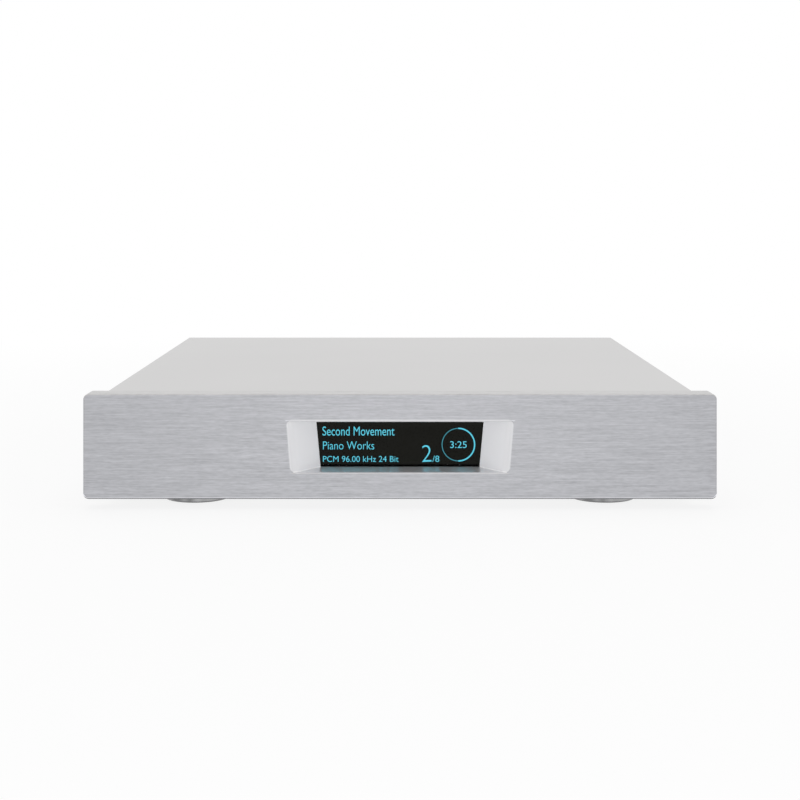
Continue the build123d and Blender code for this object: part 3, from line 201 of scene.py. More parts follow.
def shade(colour, tone):
    """A colour made lighter or darker, no lighter than white."""
    return [min(part * tone, 1.0) for part in colour]


class Tree:
    """The nodes of one material or world."""

    def __init__(self, owner):
        owner.use_nodes = True
        self.nodes, self.links = owner.node_tree.nodes, owner.node_tree.links

    def first(self, kind):
        """The node of a kind that was there from the start."""
        return next(node for node in self.nodes if node.type == kind)

    def add(self, kind, values=None, **settings):
        """A new node with its settings, and with what its sockets are fed."""
        node = self.nodes.new(kind)
        for name, value in settings.items():
            setattr(node, name, value)
        for socket, value in (values or {}).items():
            self.feed(node, socket, value)
        return node

    def feed(self, node, socket, value):
        """Links an output to a socket, or sets the socket's own value. Colours are opaque."""
        entry = node.inputs[socket]
        if isinstance(value, bpy.types.NodeSocket):
            self.links.new(value, entry)
        else:
            entry.default_value = (*value, 1) if entry.type == "RGBA" else value

    def maths(self, operation, *values):
        values = dict(enumerate(values))
        return self.add("ShaderNodeMath", values, operation=operation).outputs[0]

    def times(self, first, second):
        return self.maths("MULTIPLY", first, second)

    def minus(self, first, second):
        return self.maths("SUBTRACT", first, second)

    def between(self, value, start, end, to_start=0.0, to_end=1.0):
        """A value's place between two limits, brought to two others."""
        values = dict(enumerate((value, start, end, to_start, to_end)))
        return self.add("ShaderNodeMapRange", values, clamp=True).outputs["Result"]

    def seen(self):
        """1 for what the camera sees, straight or in metal or glass, else 0."""
        rays = self.add("ShaderNodeLightPath").outputs
        mirrored = self.maths("MAXIMUM", rays["Is Glossy Ray"], rays["Is Transmission Ray"])
        return self.maths("MAXIMUM", rays["Is Camera Ray"], mirrored)


class Finish(Tree):
    """One material, and the few kinds of pattern that it is drawn with."""

    def __init__(self, name, colour, metallic=0.0, roughness=0.5, extra=None):
        self.material = bpy.data.materials.new(name)
        super().__init__(self.material)
        self.surface = self.first("BSDF_PRINCIPLED")
        self.colour = tuple(colour)
        self.material.diffuse_color = (*self.colour, 1)
        self.give("Base Color", self.colour)
        self.give("Metallic", metallic)
        self.give("Roughness", roughness)
        for socket, value in (extra or {}).items():
            self.give(socket, value)

    def give(self, socket, value):
        self.feed(self.surface, socket, value)

    # Where a point is, and which way it faces

    def position(self, stretch=(1, 1, 1), centre=(0, 0, 0)):
        """The place on the object in metres, from a centre, stretched along its axes."""
        place = self.add("ShaderNodeTexCoord").outputs["Object"]
        start = [-c * s for c, s in zip(centre, stretch)]
        values = {"Vector": place, "Location": start, "Scale": stretch}
        return self.add("ShaderNodeMapping", values).outputs["Vector"]

    def axes(self, vector):
        """The three parts of a place or a direction."""
        return self.add("ShaderNodeSeparateXYZ", {"Vector": vector}).outputs

    def facing(self):
        return self.axes(self.add("ShaderNodeNewGeometry").outputs["Normal"])

    def vector(self, x, y, z):
        return self.add("ShaderNodeCombineXYZ", {"X": x, "Y": y, "Z": z}).outputs["Vector"]

    def distance(self, vector):
        """How far a place is from the middle."""
        return self.add("ShaderNodeVectorMath", {0: vector}, operation="LENGTH").outputs["Value"]

    # Patterns, which go from 0 to 1

    def noise(self, where, detail=2.0, roughness=0.5):
        values = {"Vector": where, "Scale": 1.0, "Detail": detail, "Roughness": roughness}
        return self.add("ShaderNodeTexNoise", values).outputs["Fac"]

    def specks(self, width, detail=2.0, roughness=0.5):
        """Noise that is as wide along each axis."""
        return self.noise(self.position(stretch=(1 / width,) * 3), detail, roughness)

    def cells(self, width, feature="F1"):
        values = {"Vector": self.position(stretch=(1 / width,) * 3), "Scale": 1.0}
        return self.add("ShaderNodeTexVoronoi", values, feature=feature).outputs

    def waves(self, along, count):
        """A soft wave along one measure, so many to the metre."""
        turned = self.times(along, 2 * pi * count)
        return self.maths("MULTIPLY_ADD", self.maths("SINE", turned), 0.5, 0.5)

    def blended(self, first, second, part):
        """Two patterns as one, the first for a part of it."""
        return self.maths("MULTIPLY_ADD", second, 1 - part, self.times(first, part))

    # Colours, gloss and relief

    def mixed(self, amount, first, second):
        """A colour between two others."""
        values = {0: amount, 6: first, 7: second}
        return self.add("ShaderNodeMix", values, data_type="RGBA").outputs[2]

    def toned(self, amount, spread, colour=None):
        """The finish's colour, darker and lighter by a spread as an amount goes from 0 to 1."""
        colour = colour or self.colour
        return self.mixed(amount, shade(colour, 1 - spread), shade(colour, 1 + spread))

    def paint(self, colour):
        self.give("Base Color", colour)

    def shine(self, colour, strength):
        self.give("Emission Color", colour)
        self.give("Emission Strength", strength)

    def gloss(self, amount, smooth, rough):
        self.give("Roughness", self.between(amount, 0.0, 1.0, smooth, rough))

    def relief(self, height, depth, strength):
        """Raises the surface by a height from 0 to 1, times a depth in metres."""
        values = {"Height": height, "Distance": depth, "Strength": strength}
        self.give("Normal", self.add("ShaderNodeBump", values).outputs["Normal"])

    def grained(self, pattern, spread, gloss, reach=0.5, relief=None):
        """Tones and glosses the finish by one pattern, and may raise it. The tone changes within
        a reach of the pattern's middle."""
        self.paint(self.toned(self.between(pattern, 0.5 - reach, 0.5 + reach), spread))
        self.gloss(pattern, *gloss)
        if relief:
            self.relief(pattern, *relief)
        return self

    def dress(self, *nodes):
        """Gives this finish to nodes of the frame."""
        for name in nodes:
            for slot in frame["nodes"][name].material_slots:
                slot.material = self.material


# Finishes of the front panel


def scoop_share(finish, place):
    """1 within the rounded outline of the scoop round the display, 0 on the flat about it."""
    half_width, half_height, corner = 0.0618, 0.0149, 0.0035
    inside, outside = corner - 0.0004, corner + 0.0002
    scoop_depth, lean_share = 0.0132, 0.08
    up = finish.minus(place["Z"], panel_middle_z)
    lean = finish.times(up, lean_share)
    across = finish.minus(finish.maths("ABSOLUTE", place["X"]), lean)
    beside = finish.minus(across, half_width - corner)
    above = finish.minus(finish.maths("ABSOLUTE", up), half_height - corner)
    beyond = finish.vector(
        finish.maths("MAXIMUM", beside, 0.0), finish.maths("MAXIMUM", above, 0.0), 0.0
    )
    edge = finish.between(finish.distance(beyond), inside, outside, 1.0, 0.0)
    shallow = finish.maths("LESS_THAN", place["Y"], front_y + scoop_depth)
    return finish.times(edge, shallow)


def scoop_tone(finish, place, facing, colour):
    """The scoop's colour: painted shade that makes it a little darker at its rounded mouth, and
    a painted highlight along the seam where a side wall meets the sill."""
    mouth_depth, mouth_shade_tone = 0.0022, 0.86
    sill_depth = 0.0122
    seam_front_z, seam_back_z = panel_middle_z - 0.0144, panel_middle_z - 0.0133
    seam_core, seam_edge, side_facing = 0.0002, 0.0006, 0.3
    depth = finish.minus(place["Y"], front_y)
    # Painted shade: darker towards the mouth of the scoop.
    inward = finish.between(depth, 0.0, mouth_depth)
    wall = finish.mixed(inward, shade(colour, mouth_shade_tone), colour)
    # Painted highlight: a white line along the seam of the side walls and the sill.
    seam_z = finish.between(depth, 0.0, sill_depth, seam_front_z, seam_back_z)
    off_seam = finish.maths("ABSOLUTE", finish.minus(place["Z"], seam_z))
    on_side = finish.maths("GREATER_THAN", finish.maths("ABSOLUTE", facing["X"]), side_facing)
    seam_highlight = finish.between(off_seam, seam_core, seam_edge, 1.0, 0.0)
    return finish.mixed(finish.times(seam_highlight, on_side), wall, WHITE)


def painted_edge_light(finish, facing, flat, top, colour):
    """The flat's colour, the top's lighter colour towards the top as painted light, and where
    the rim rounds over to the underside, which stays plain, a painted highlight line above a
    painted shade line."""
    highlight_line, shade_line = (-0.02, -0.12, 1.9), (-0.34, -0.44, 0.04)
    rounded = finish.between(facing["Y"], -0.04, -0.2)
    # Painted light: the top-facing part takes the top's lighter colour.
    edged = finish.mixed(finish.between(facing["Z"], 0.1, 0.5), flat, top)
    # Painted highlight and painted shade lines along the lower rim.
    for start, end, tone in (highlight_line, shade_line):
        amount = finish.times(finish.between(facing["Z"], start, end), rounded)
        edged = finish.mixed(amount, edged, shade(colour, tone))
    return edged


def brushed_front(looks):
    """Level brush lines on the flat of the panel, a smoother scoop, and painted light and shade
    on the top and the rim.
    """
    scoop_roughness, scoop_metallic, lit_top_tone = 0.3, 0.6, 0.95
    finish = Finish("brushed_front", looks.front, metallic=1.0)
    place, facing = finish.axes(finish.position()), finish.facing()
    scoop = scoop_share(finish, place)
    line = 1 / looks.brush_width
    brush = finish.position(stretch=(1 / looks.brush_length, line, line))
    lines = finish.noise(brush, detail=3, roughness=0.6)
    grain = finish.noise(finish.position(stretch=(260, 1500, 1500)), detail=2)
    both = finish.blended(lines, grain, 0.6)
    brushed = finish.between(both, 0.33, 0.67)
    flat = finish.toned(brushed, looks.brush_contrast)
    # Painted light: the panel's top is drawn in the cover's lighter colour.
    top = finish.toned(brushed, looks.brush_contrast, shade(looks.cover, lit_top_tone))
    cloud = finish.noise(finish.position(stretch=(9, 9, 14)), detail=1)
    soft = finish.mixed(finish.between(cloud, 0.35, 0.65, 0.0, 0.2), flat, looks.front)
    edged = painted_edge_light(finish, facing, soft, top, looks.front)
    finish.paint(finish.mixed(scoop, edged, scoop_tone(finish, place, facing, looks.recess)))
    kept = finish.minus(1.0, scoop)
    flat_gloss = finish.times(finish.between(both, 0.3, 0.7, 0.36, 0.5), kept)
    finish.give("Roughness", finish.maths("MULTIPLY_ADD", scoop, scoop_roughness, flat_gloss))
    finish.give("Metallic", finish.maths("MULTIPLY_ADD", scoop, scoop_metallic - 1, 1.0))
    finish.relief(finish.times(lines, kept), depth=0.00003, strength=0.6)
    return finish


# Finishes of other metal


def satin_sheet(name, colour, grain, roughness):
    """Fine blasted and anodised sheet."""
    finish = Finish(name, colour, metallic=1.0)
    speck = finish.specks(grain, detail=3, roughness=0.6)
    both = finish.blended(speck, finish.specks(0.12, detail=1), 0.65)
    finish.paint(finish.toned(finish.between(both, 0.35, 0.65), 0.025))
    finish.gloss(speck, roughness - 0.05, roughness + 0.05)
    finish.relief(speck, depth=0.00002, strength=0.35)
    return finish


def milled_bar(looks):
    """Cutter marks that cross a bar."""
    finish = Finish("milled_bar", looks.posts, metallic=1.0)
    marks = finish.noise(finish.position(stretch=(200, 200, 1400)), detail=3)
    return finish.grained(
        marks, spread=0.1, gloss=(0.25, 0.45), reach=0.15, relief=(0.00005, 0.4)
    )


def turned_foot(name, looks, centre):
    """Fine rings left by the lathe, round the foot's own axis, with painted sheen bands round it
    and painted shade on the lower rim.
    """
    rings_to_metre, sheen_lobes = 2600, 2.6
    sheen_shade_tone, rim_shade_tone = 0.55, 0.45
    rim_start, rim_end = 0.0009, 0.0014
    finish = Finish(name, looks.feet, metallic=1.0)
    part = finish.axes(finish.position(centre=(centre.x, centre.y, 0)))
    radius = finish.distance(finish.vector(part["X"], part["Y"], 0.0))
    out, up = (finish.times(way, rings_to_metre) for way in (radius, part["Z"]))
    rings = finish.noise(finish.vector(out, up, 0.0), detail=3, roughness=0.6)
    across, along = (finish.maths("DIVIDE", part[axis], radius) for axis in "XY")
    # Painted sheen: bands round the axis, darker between them.
    turn = finish.vector(finish.times(across, sheen_lobes), along, 0.3)
    painted_sheen = finish.between(finish.noise(turn, detail=1), 0.35, 0.65)
    lined = finish.toned(finish.between(rings, 0.3, 0.7), 0.12)
    side = finish.mixed(painted_sheen, shade(looks.feet, sheen_shade_tone), lined)
    # Painted shade: the lower rim is darker.
    shaded_rim = finish.between(part["Z"], rim_start, rim_end, 1.0, 0.0)
    finish.paint(finish.mixed(shaded_rim, side, shade(looks.feet, rim_shade_tone)))
    finish.gloss(rings, 0.16, 0.3)
    finish.relief(rings, depth=0.00003, strength=0.5)
    return finish


def zinc_sheet(looks):
    """Plated sheet with a faint spangle."""
    finish = Finish("zinc_sheet", looks.steel, metallic=1.0)
    flake = finish.axes(finish.cells(0.008)["Color"])["X"]
    finish.grained(flake, spread=0.1, gloss=(0.32, 0.48))
    finish.relief(finish.specks(0.002), depth=0.00003, strength=0.3)
    return finish


def machined_steel(looks):
    """Screws, bolts and nuts, with a light handling haze."""
    finish = Finish("machined_steel", looks.screws, metallic=1.0)
    haze = finish.specks(0.0009, detail=4)
    return finish.grained(haze, spread=0.12, gloss=(0.2, 0.42), reach=0.2, relief=(0.00002, 0.3))


def plating(name, colour, roughness):
    """A bright plated surface, cloudy where it is handled."""
    finish = Finish(name, colour, metallic=1.0)
    cloud = finish.specks(0.003, detail=4, roughness=0.6)
    gloss = (roughness - 0.07, roughness + 0.1)
    return finish.grained(cloud, spread=0.06, gloss=gloss, reach=0.2)


def tinned_shell(looks):
    """Drawn sheet of the data sockets, with faint lines along the depth."""
    finish = Finish("tinned_shell", looks.tin, metallic=1.0)
    drawn = finish.noise(finish.position(stretch=(1800, 60, 1800)), detail=3)
    return finish.grained(
        drawn, spread=0.09, gloss=(0.22, 0.42), reach=0.15, relief=(0.00002, 0.3)
    )


# Finishes of plastic, rubber and glass


def moulded(name, colour, grain, roughness, depth=0.00003):
    """Plastic with a fine eroded grain."""
    finish = Finish(name, colour)
    speck = finish.specks(grain, detail=3, roughness=0.6)
    gloss = (roughness - 0.06, roughness + 0.08)
    return finish.grained(speck, spread=0.12, gloss=gloss, reach=0.2, relief=(depth, 0.5))


def soft_rubber(looks):
    """Matt rubber with a dusty bloom."""
    finish = Finish("soft_rubber", looks.rubber)
    bloom = finish.specks(0.004, detail=5, roughness=0.65)
    finish.grained(bloom, spread=0.3, gloss=(0.75, 0.95), reach=0.2)
    finish.relief(finish.specks(0.0004), depth=0.00004, strength=0.5)
    return finish


def smoked_glass(looks):
    """The dark, coated window in front of the display."""
    clear = {"Transmission Weight": 1.0, "IOR": 1.0, "Coat Weight": 0.08, "Coat Roughness": 0.1}
    finish = Finish("smoked_glass", looks.window, roughness=0.0, extra=clear)
    wiped = finish.noise(finish.position(stretch=(60, 60, 200)), detail=3)
    finish.paint(finish.toned(wiped, 0.04))
    return finish


def display_face(page):
    """Black face of the display, faintly clouded, with a faint, uneven warm glow on it that is
    painted light.
    """
    black, painted_glow_colour, uneven = (0.004, 0.004, 0.0036), (1.0, 1.0, 0.82), 0.08
    finish = Finish("display_face", black, extra={"Specular IOR Level": 0.0})
    cloud = finish.specks(0.012, detail=3)
    finish.grained(cloud, spread=0.3, gloss=(0.42, 0.58))
    faint, full = page.glow * (1 - uneven), page.glow * (1 + uneven)
    # Painted light: the unlit face glows faintly, unevenly with the cloud.
    finish.shine(painted_glow_colour, finish.between(cloud, 0.3, 0.7, faint, full))
    return finish


def fuse_glass():
    """A glass tube between two metal caps."""
    glass, cap_metal, tube_share = (0.85, 0.88, 0.88), (0.6, 0.59, 0.57), 0.62
    finish = Finish("fuse_glass", glass)
    part = finish.axes(finish.position(centre=middle("fuse_link")))
    half_tube = (high("fuse_link").x - low("fuse_link").x) / 2 * tube_share
    cap = finish.maths("GREATER_THAN", finish.maths("ABSOLUTE", part["X"]), half_tube)
    finish.paint(finish.mixed(cap, glass, cap_metal))
    finish.give("Metallic", cap)
    finish.give("Transmission Weight", finish.minus(1.0, cap))
    finish.gloss(finish.specks(0.001, detail=3), 0.03, 0.2)
    return finish


# Finishes of the boards and what they carry


def circuit(looks):
    """Solder mask over copper runs, with plated dots."""
    run_tone, dot_metallic = 1.9, 0.9
    finish = Finish("circuit", looks.board)
    runs = finish.cells(0.007, feature="DISTANCE_TO_EDGE")
    off_run = finish.between(runs["Distance"], 0.05, 0.09)
    dot = finish.between(finish.cells(0.0045)["Distance"], 0.12, 0.16, 1.0, 0.0)
    mask = finish.mixed(off_run, shade(looks.board, run_tone), looks.board)
    finish.paint(finish.mixed(dot, mask, looks.tin))
    finish.give("Metallic", finish.times(dot, dot_metallic))
    finish.gloss(off_run, 0.28, 0.4)
    finish.relief(finish.minus(1.0, off_run), depth=0.00004, strength=0.5)
    return finish


def chip_package():
    """Moulded black packages with a dull face."""
    finish = Finish("chip_package", (0.02, 0.02, 0.021))
    speck = finish.specks(0.0003)
    finish.paint(finish.toned(finish.specks(0.006), 0.25))
    finish.gloss(speck, 0.48, 0.65)
    finish.relief(speck, depth=0.00002, strength=0.4)
    return finish


def sleeved_can(looks):
    """A dark sleeve with a light stripe, and a bare top."""
    sleeve, stripe_colour = (0.012, 0.016, 0.045), (0.55, 0.56, 0.58)
    top_facing, stripe_facing = 0.8, -0.94
    finish = Finish("sleeved_can", sleeve)
    facing = finish.facing()
    top = finish.maths("GREATER_THAN", facing["Z"], top_facing)
    stripe = finish.maths("LESS_THAN", facing["Y"], stripe_facing)
    haze = finish.specks(0.002, detail=3)
    side = finish.mixed(stripe, finish.toned(haze, 0.25), stripe_colour)
    finish.paint(finish.mixed(top, side, looks.posts))
    finish.give("Metallic", top)
    finish.gloss(haze, 0.22, 0.38)
    return finish


def wound_tape():
    """Overlapping turns of tape round the ring core."""
    tape, lap_shadow, laps = (0.62, 0.42, 0.07), (0.4, 0.26, 0.04), 46.0
    centre = middle("transformer_ring")
    finish = Finish("wound_tape", tape)
    part = finish.axes(finish.position(centre=(centre.x, centre.y, 0)))
    turn = finish.maths("DIVIDE", finish.maths("ARCTAN2", part["Y"], part["X"]), 2 * pi)
    lap = finish.maths("FRACT", finish.times(turn, laps))
    cloud = finish.specks(0.006, detail=3)
    edge = finish.between(lap, 0.0, 0.12)
    finish.paint(finish.mixed(edge, lap_shadow, finish.toned(cloud, 0.12)))
    finish.gloss(cloud, 0.2, 0.38)
    finish.relief(lap, depth=0.00015, strength=0.8)
    return finish


def striped_ribbon():
    """Grey flat cable, ribbed along its run, with a red first wire."""
    grey, red, wire_pitch = (0.32, 0.33, 0.35), (0.45, 0.03, 0.02), 0.00127
    first_wire = 0.0012
    finish = Finish("striped_ribbon", grey)
    part = finish.axes(finish.position())
    ribs = finish.waves(part["X"], 1 / wire_pitch)
    first = finish.maths("LESS_THAN", part["X"], low("display_ribbon").x + first_wire)
    finish.paint(finish.mixed(first, finish.toned(ribs, 0.15), red))
    finish.gloss(ribs, 0.38, 0.52)
    finish.relief(ribs, depth=0.0002, strength=0.7)
    return finish


# Finishes of what is lit or printed


def lit(name, page, amount):
    """Bright rows of dots that make up the page."""
    rows_to_metre, dimmest = 4000, 0.86
    finish = Finish(name, (0.0, 0.01, 0.012), roughness=0.4)
    height = finish.axes(finish.position())["Z"]
    rows = finish.between(finish.waves(height, rows_to_metre), 0.0, 1.0, dimmest, 1.0)
    finish.shine(page.light, finish.times(rows, page.strength * amount))
    return finish


def printed_ink(name, colour):
    """Ink with slightly uneven cover."""
    finish = Finish(name, colour)
    cover = finish.specks(0.0004, detail=3)
    return finish.grained(cover, spread=0.25, gloss=(0.48, 0.65))


def lamp_lens(name, colour):
    """A clouded lens over a small status lamp."""
    finish = Finish(name, colour)
    finish.shine(colour, strength=0.25)
    return finish.grained(finish.specks(0.0006), spread=0.2, gloss=(0.2, 0.36))


# Modelling by hand


def clear_selection():
    if bpy.context.mode != "OBJECT":
        bpy.ops.object.mode_set(mode="OBJECT")
    bpy.ops.object.select_all(action="DESELECT")


def take(piece):
    """Makes one piece the only one in hand."""
    clear_selection()
    piece.select_set(True)
    bpy.context.view_layer.objects.active = piece
    return piece


def apply_place(piece):
    """Puts a piece's place, turn and size into its mesh."""
    take(piece)
    bpy.ops.object.transform_apply(location=True, rotation=True, scale=True)


def settle(piece, name, body, finish):
    """Leaves a piece where it is, and hangs it on its body under its own name."""
    apply_place(piece)
    piece.name = piece.data.name = name
    piece.data.materials.clear()
    piece.data.materials.append(finish.material)
    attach(piece, body)


def open_mesh():
    """Goes into edit mode with all of the piece in hand selected."""
    bpy.ops.object.mode_set(mode="EDIT")
    bpy.ops.mesh.select_all(action="SELECT")


def close_mesh():
    """Turns the faces outwards and leaves edit mode."""
    bpy.ops.mesh.select_all(action="SELECT")
    bpy.ops.mesh.normals_make_consistent(inside=False)
    bpy.ops.object.mode_set(mode="OBJECT")


def lettering(text, weight):
    """A word as a solid mesh one unit thick that lies at the origin, with its lower left
    corner there. Its strokes are wider or narrower by a weight."""
    clear_selection()
    bpy.ops.object.text_add()
    curve = bpy.context.object
    curve.data.body = text
    curve.data.resolution_u = LETTER_STEPS
    curve.data.offset = weight
    bpy.ops.object.convert(target="MESH")
    word = bpy.context.object
    open_mesh()
    bpy.ops.mesh.remove_doubles(threshold=MERGE_GAP)
    bpy.ops.mesh.extrude_region_move(TRANSFORM_OT_translate={"value": (0, 0, 1)})
    close_mesh()
    corners = [Vector(corner) for corner in word.bound_box]
    lowest = Vector(map(min, *corners))
    word.data.transform(Matrix.Translation((-lowest.x, -lowest.y, 0)))
    word.data.update()
    size = Vector(map(max, *corners)) - lowest
    return word, size


def fitted_word(text, name, width, height, corner, weight, finish):
    """A word on the display, drawn to fill a width and a height from its lower left corner."""
    word, size = lettering(text, weight)
    word.scale = (width / size.x, height / size.y, bpy.context.scene.streamer_page.raise_by)
    word.rotation_euler = FACES_FRONT
    word.location = (corner[0], display_face_y, panel_middle_z + corner[1])
    settle(word, name, "case", finish)


def printed_word(text, name, nodes, up, height, finish, thickness):
    """A word on the rear panel, centred on some nodes and so far up from the panel's middle."""
    word, size = lettering(text, PRINT_WEIGHT)
    x = sum(middle(node).x for node in nodes) / len(nodes)
    scale = height / size.y
    width_scale = scale * PRINT_WIDTH_SHARE
    word.scale = (width_scale, scale, thickness)
    word.rotation_euler = FACES_REAR
    left = x + size.x * width_scale / 2
    word.location = (left, rear_face_y, panel_middle_z + up - height / 2)
    settle(word, name, "case", finish)


def flat_ring(radius, line, thickness):
    """A flat ring at the origin: a disc whose rim is set in and whose middle is cut out."""
    clear_selection()
    bpy.ops.mesh.primitive_circle_add(
        vertices=RING_SIDES, radius=radius + line / 2, fill_type="NGON"
    )
    open_mesh()
    bpy.ops.mesh.inset(thickness=line, depth=0)
    bpy.ops.mesh.delete(type="FACE")
    bpy.ops.mesh.select_all(action="SELECT")
    bpy.ops.mesh.extrude_region_move(TRANSFORM_OT_translate={"value": (0, 0, thickness)})
    close_mesh()
    return bpy.context.object


def half_ring(name, line, side, finish):
    """Half of the time ring, on the left (-1) or the right (1) of its middle."""
    page = bpy.context.scene.streamer_page
    ring = flat_ring(page.ring_radius, line, page.raise_by)
    open_mesh()
    bpy.ops.mesh.bisect(
        plane_co=(0, 0, 0), plane_no=(side, 0, 0), use_fill=True, clear_inner=True
    )
    bpy.ops.object.mode_set(mode="OBJECT")
    ring.rotation_euler = FACES_FRONT
    ring.location = (page.ring_x, display_face_y, panel_middle_z + page.ring_z)
    settle(ring, name, "case", finish)


def bar(width, height, thickness):
    """A small bar with soft edges, lying flat at the origin."""
    clear_selection()
    bpy.ops.mesh.primitive_cube_add(size=1)
    piece = bpy.context.object
    piece.scale = (width, height, thickness)
    apply_place(piece)
    open_mesh()
    bpy.ops.mesh.bevel(offset=thickness / 4, segments=2, affect="EDGES")
    close_mesh()
    return piece


def rocker_face(above):
    """The middle and the direction of the rocker's upper or lower key, as it rests."""
    faces = [
        face for face in frame["nodes"]["power_rocker"].data.polygons
        if face.area > ROCKER_KEY_AREA and face.normal.y > ROCKER_KEY_FACING
        and (face.center.z > switch_pivot_z) == above
    ]
    area = sum(face.area for face in faces)
    centre = sum((face.center * face.area for face in faces), Vector()) / area
    facing = sum((face.normal * face.area for face in faces), Vector()).normalized()
    return centre, facing


def dress_each(kind, *rows):
    """Makes one kind of finish for each row, which has its name, its nodes and then what the
    kind needs."""
    for name, nodes, *needs in rows:
        kind(name, *needs).dress(*nodes)


# Operators, one for each group of like pieces


class STREAMER_OT_case_finish(bpy.types.Operator):
    """Finishes the front panel, the cover, the rear panel, the posts and the sheet inside"""

    bl_idname = "streamer.case_finish"
    bl_label = "Finish the Case"

    def execute(self, context):
        looks = context.scene.streamer_looks
        brushed_front(looks).dress("front_panel")
        satin_sheet("satin_cover", looks.cover, looks.grain, 0.42).dress("top_cover")
        satin_sheet("satin_rear", looks.rear, looks.grain, 0.45).dress("rear_panel")
        milled_bar(looks).dress("corner_posts")
        zinc_sheet(looks).dress("base_plate", "front_bracket", "transformer_clamp")
        return {"FINISHED"}


class STREAMER_OT_feet_finish(bpy.types.Operator):
    """Finishes the four turned feet, each round its own axis, and all that is rubber"""

    bl_idname = "streamer.feet_finish"
    bl_label = "Finish the Feet"

    def execute(self, context):
        looks = context.scene.streamer_looks
        for name in ("front_left", "front_right", "rear_left", "rear_right"):
            node = "foot_" + name
            turned_foot("turned_" + name, looks, middle(node)).dress(node)
        soft_rubber(looks).dress(
            "foot_pads", "window_gasket", "line_washers", "transformer_pads"
        )
        return {"FINISHED"}


class STREAMER_OT_fastener_finish(bpy.types.Operator):
    """Finishes the screws, the nuts and the bolt"""

    bl_idname = "streamer.fastener_finish"
    bl_label = "Finish the Fasteners"

    def execute(self, context):
        machined_steel(context.scene.streamer_looks).dress(
            "foot_screws", "foot_nuts", "panel_screws", "rear_screws", "flush_screws",
            "board_screws", "transformer_bolt",
        )
        return {"FINISHED"}


class STREAMER_OT_window_finish(bpy.types.Operator):
    """Finishes the dark window and the face of the display behind it"""

    bl_idname = "streamer.window_finish"
    bl_label = "Finish the Window"

    def execute(self, context):
        smoked_glass(context.scene.streamer_looks).dress("display_window")
        display_face(context.scene.streamer_page).dress("display_panel")
        return {"FINISHED"}


class STREAMER_OT_page_words(bpy.types.Operator):
    """Draws the lit words and numbers on the display"""

    bl_idname = "streamer.page_words"
    bl_label = "Draw the Page"

    def execute(self, context):
        page = context.scene.streamer_page
        bright = lit("lit_words", page, 1.0)
        # Each text and its name, its width and height, its lower left corner from the middle
        # of the display, and how much wider its strokes are
        for row in (
            (page.title, "page_title", 0.0405, 0.0051, (-0.0436, 0.0037), -0.002),
            (page.album, "page_album", 0.0288, 0.0045, (-0.0433, -0.0041), -0.008),
            (page.sound, "page_sound", 0.0425, 0.0033, (-0.0433, -0.0111), -0.004),
            (page.number, "page_number", 0.0053, 0.0094, (0.0124, -0.0111), -0.016),
            (page.total, "page_total", 0.0039, 0.0035, (0.0182, -0.0111), -0.004),
            (page.time, "page_time", 0.0093, 0.0038, (0.0282, -0.0033), -0.002),
        ):
            fitted_word(*row, bright)
        return {"FINISHED"}


class STREAMER_OT_time_ring(bpy.types.Operator):
    """Draws the ring that shows how much of the track has played"""

    bl_idname = "streamer.time_ring"
    bl_label = "Draw the Time Ring"

    def execute(self, context):
        page = context.scene.streamer_page
        half_ring("time_ring_played", page.ring_line, 1, lit("lit_ring", page, 1.0))
        half_ring("time_ring_left", page.ring_rest, -1, lit("dim_ring", page, page.dim_share))
        return {"FINISHED"}


class STREAMER_OT_mains_finish(bpy.types.Operator):
    """Finishes the inlet, its blades, the fuse drawer, the fuse and the power switch"""

    bl_idname = "streamer.mains_finish"
    bl_label = "Finish the Mains Side"

    def execute(self, context):
        looks = context.scene.streamer_looks
        plastic, grain = looks.plastic, looks.grain
        dress_each(
            moulded,
            ("moulded_inlet", ["mains_inlet"], plastic, grain, 0.5),
            ("moulded_drawer", ["fuse_drawer"], plastic, grain, 0.42),
            ("moulded_switch", ["switch_frame"], plastic, grain, 0.45),
            ("rocker_key", ["power_rocker"], plastic, grain, 0.28, 0.00001),
        )
        plating("plated_blades", looks.nickel, roughness=0.22).dress("inlet_blades")
        fuse_glass().dress("fuse_link")
        return {"FINISHED"}


class STREAMER_OT_rocker_marks(bpy.types.Operator):
    """Draws the on and off marks on the two keys of the power switch"""

    bl_idname = "streamer.rocker_marks"
    bl_label = "Mark the Power Switch"

    def execute(self, context):
        marks = context.scene.streamer_marks
        white = printed_ink("white_ink", (0.75, 0.75, 0.74))
        thickness = marks.thickness * 2
        stroke = bar(marks.line, marks.rocker_mark, thickness)
        circle = flat_ring((marks.rocker_mark - marks.line) / 2, marks.line, thickness)
        for piece, name, above, lift in (
            (stroke, "mark_on", True, thickness / 2),
            (circle, "mark_off", False, 0),
        ):
            centre, facing = rocker_face(above)
            piece.rotation_euler = facing.to_track_quat("Z", "Y").to_euler()
            piece.location = centre + facing * lift
            settle(piece, name, "rocker", white)
        return {"FINISHED"}


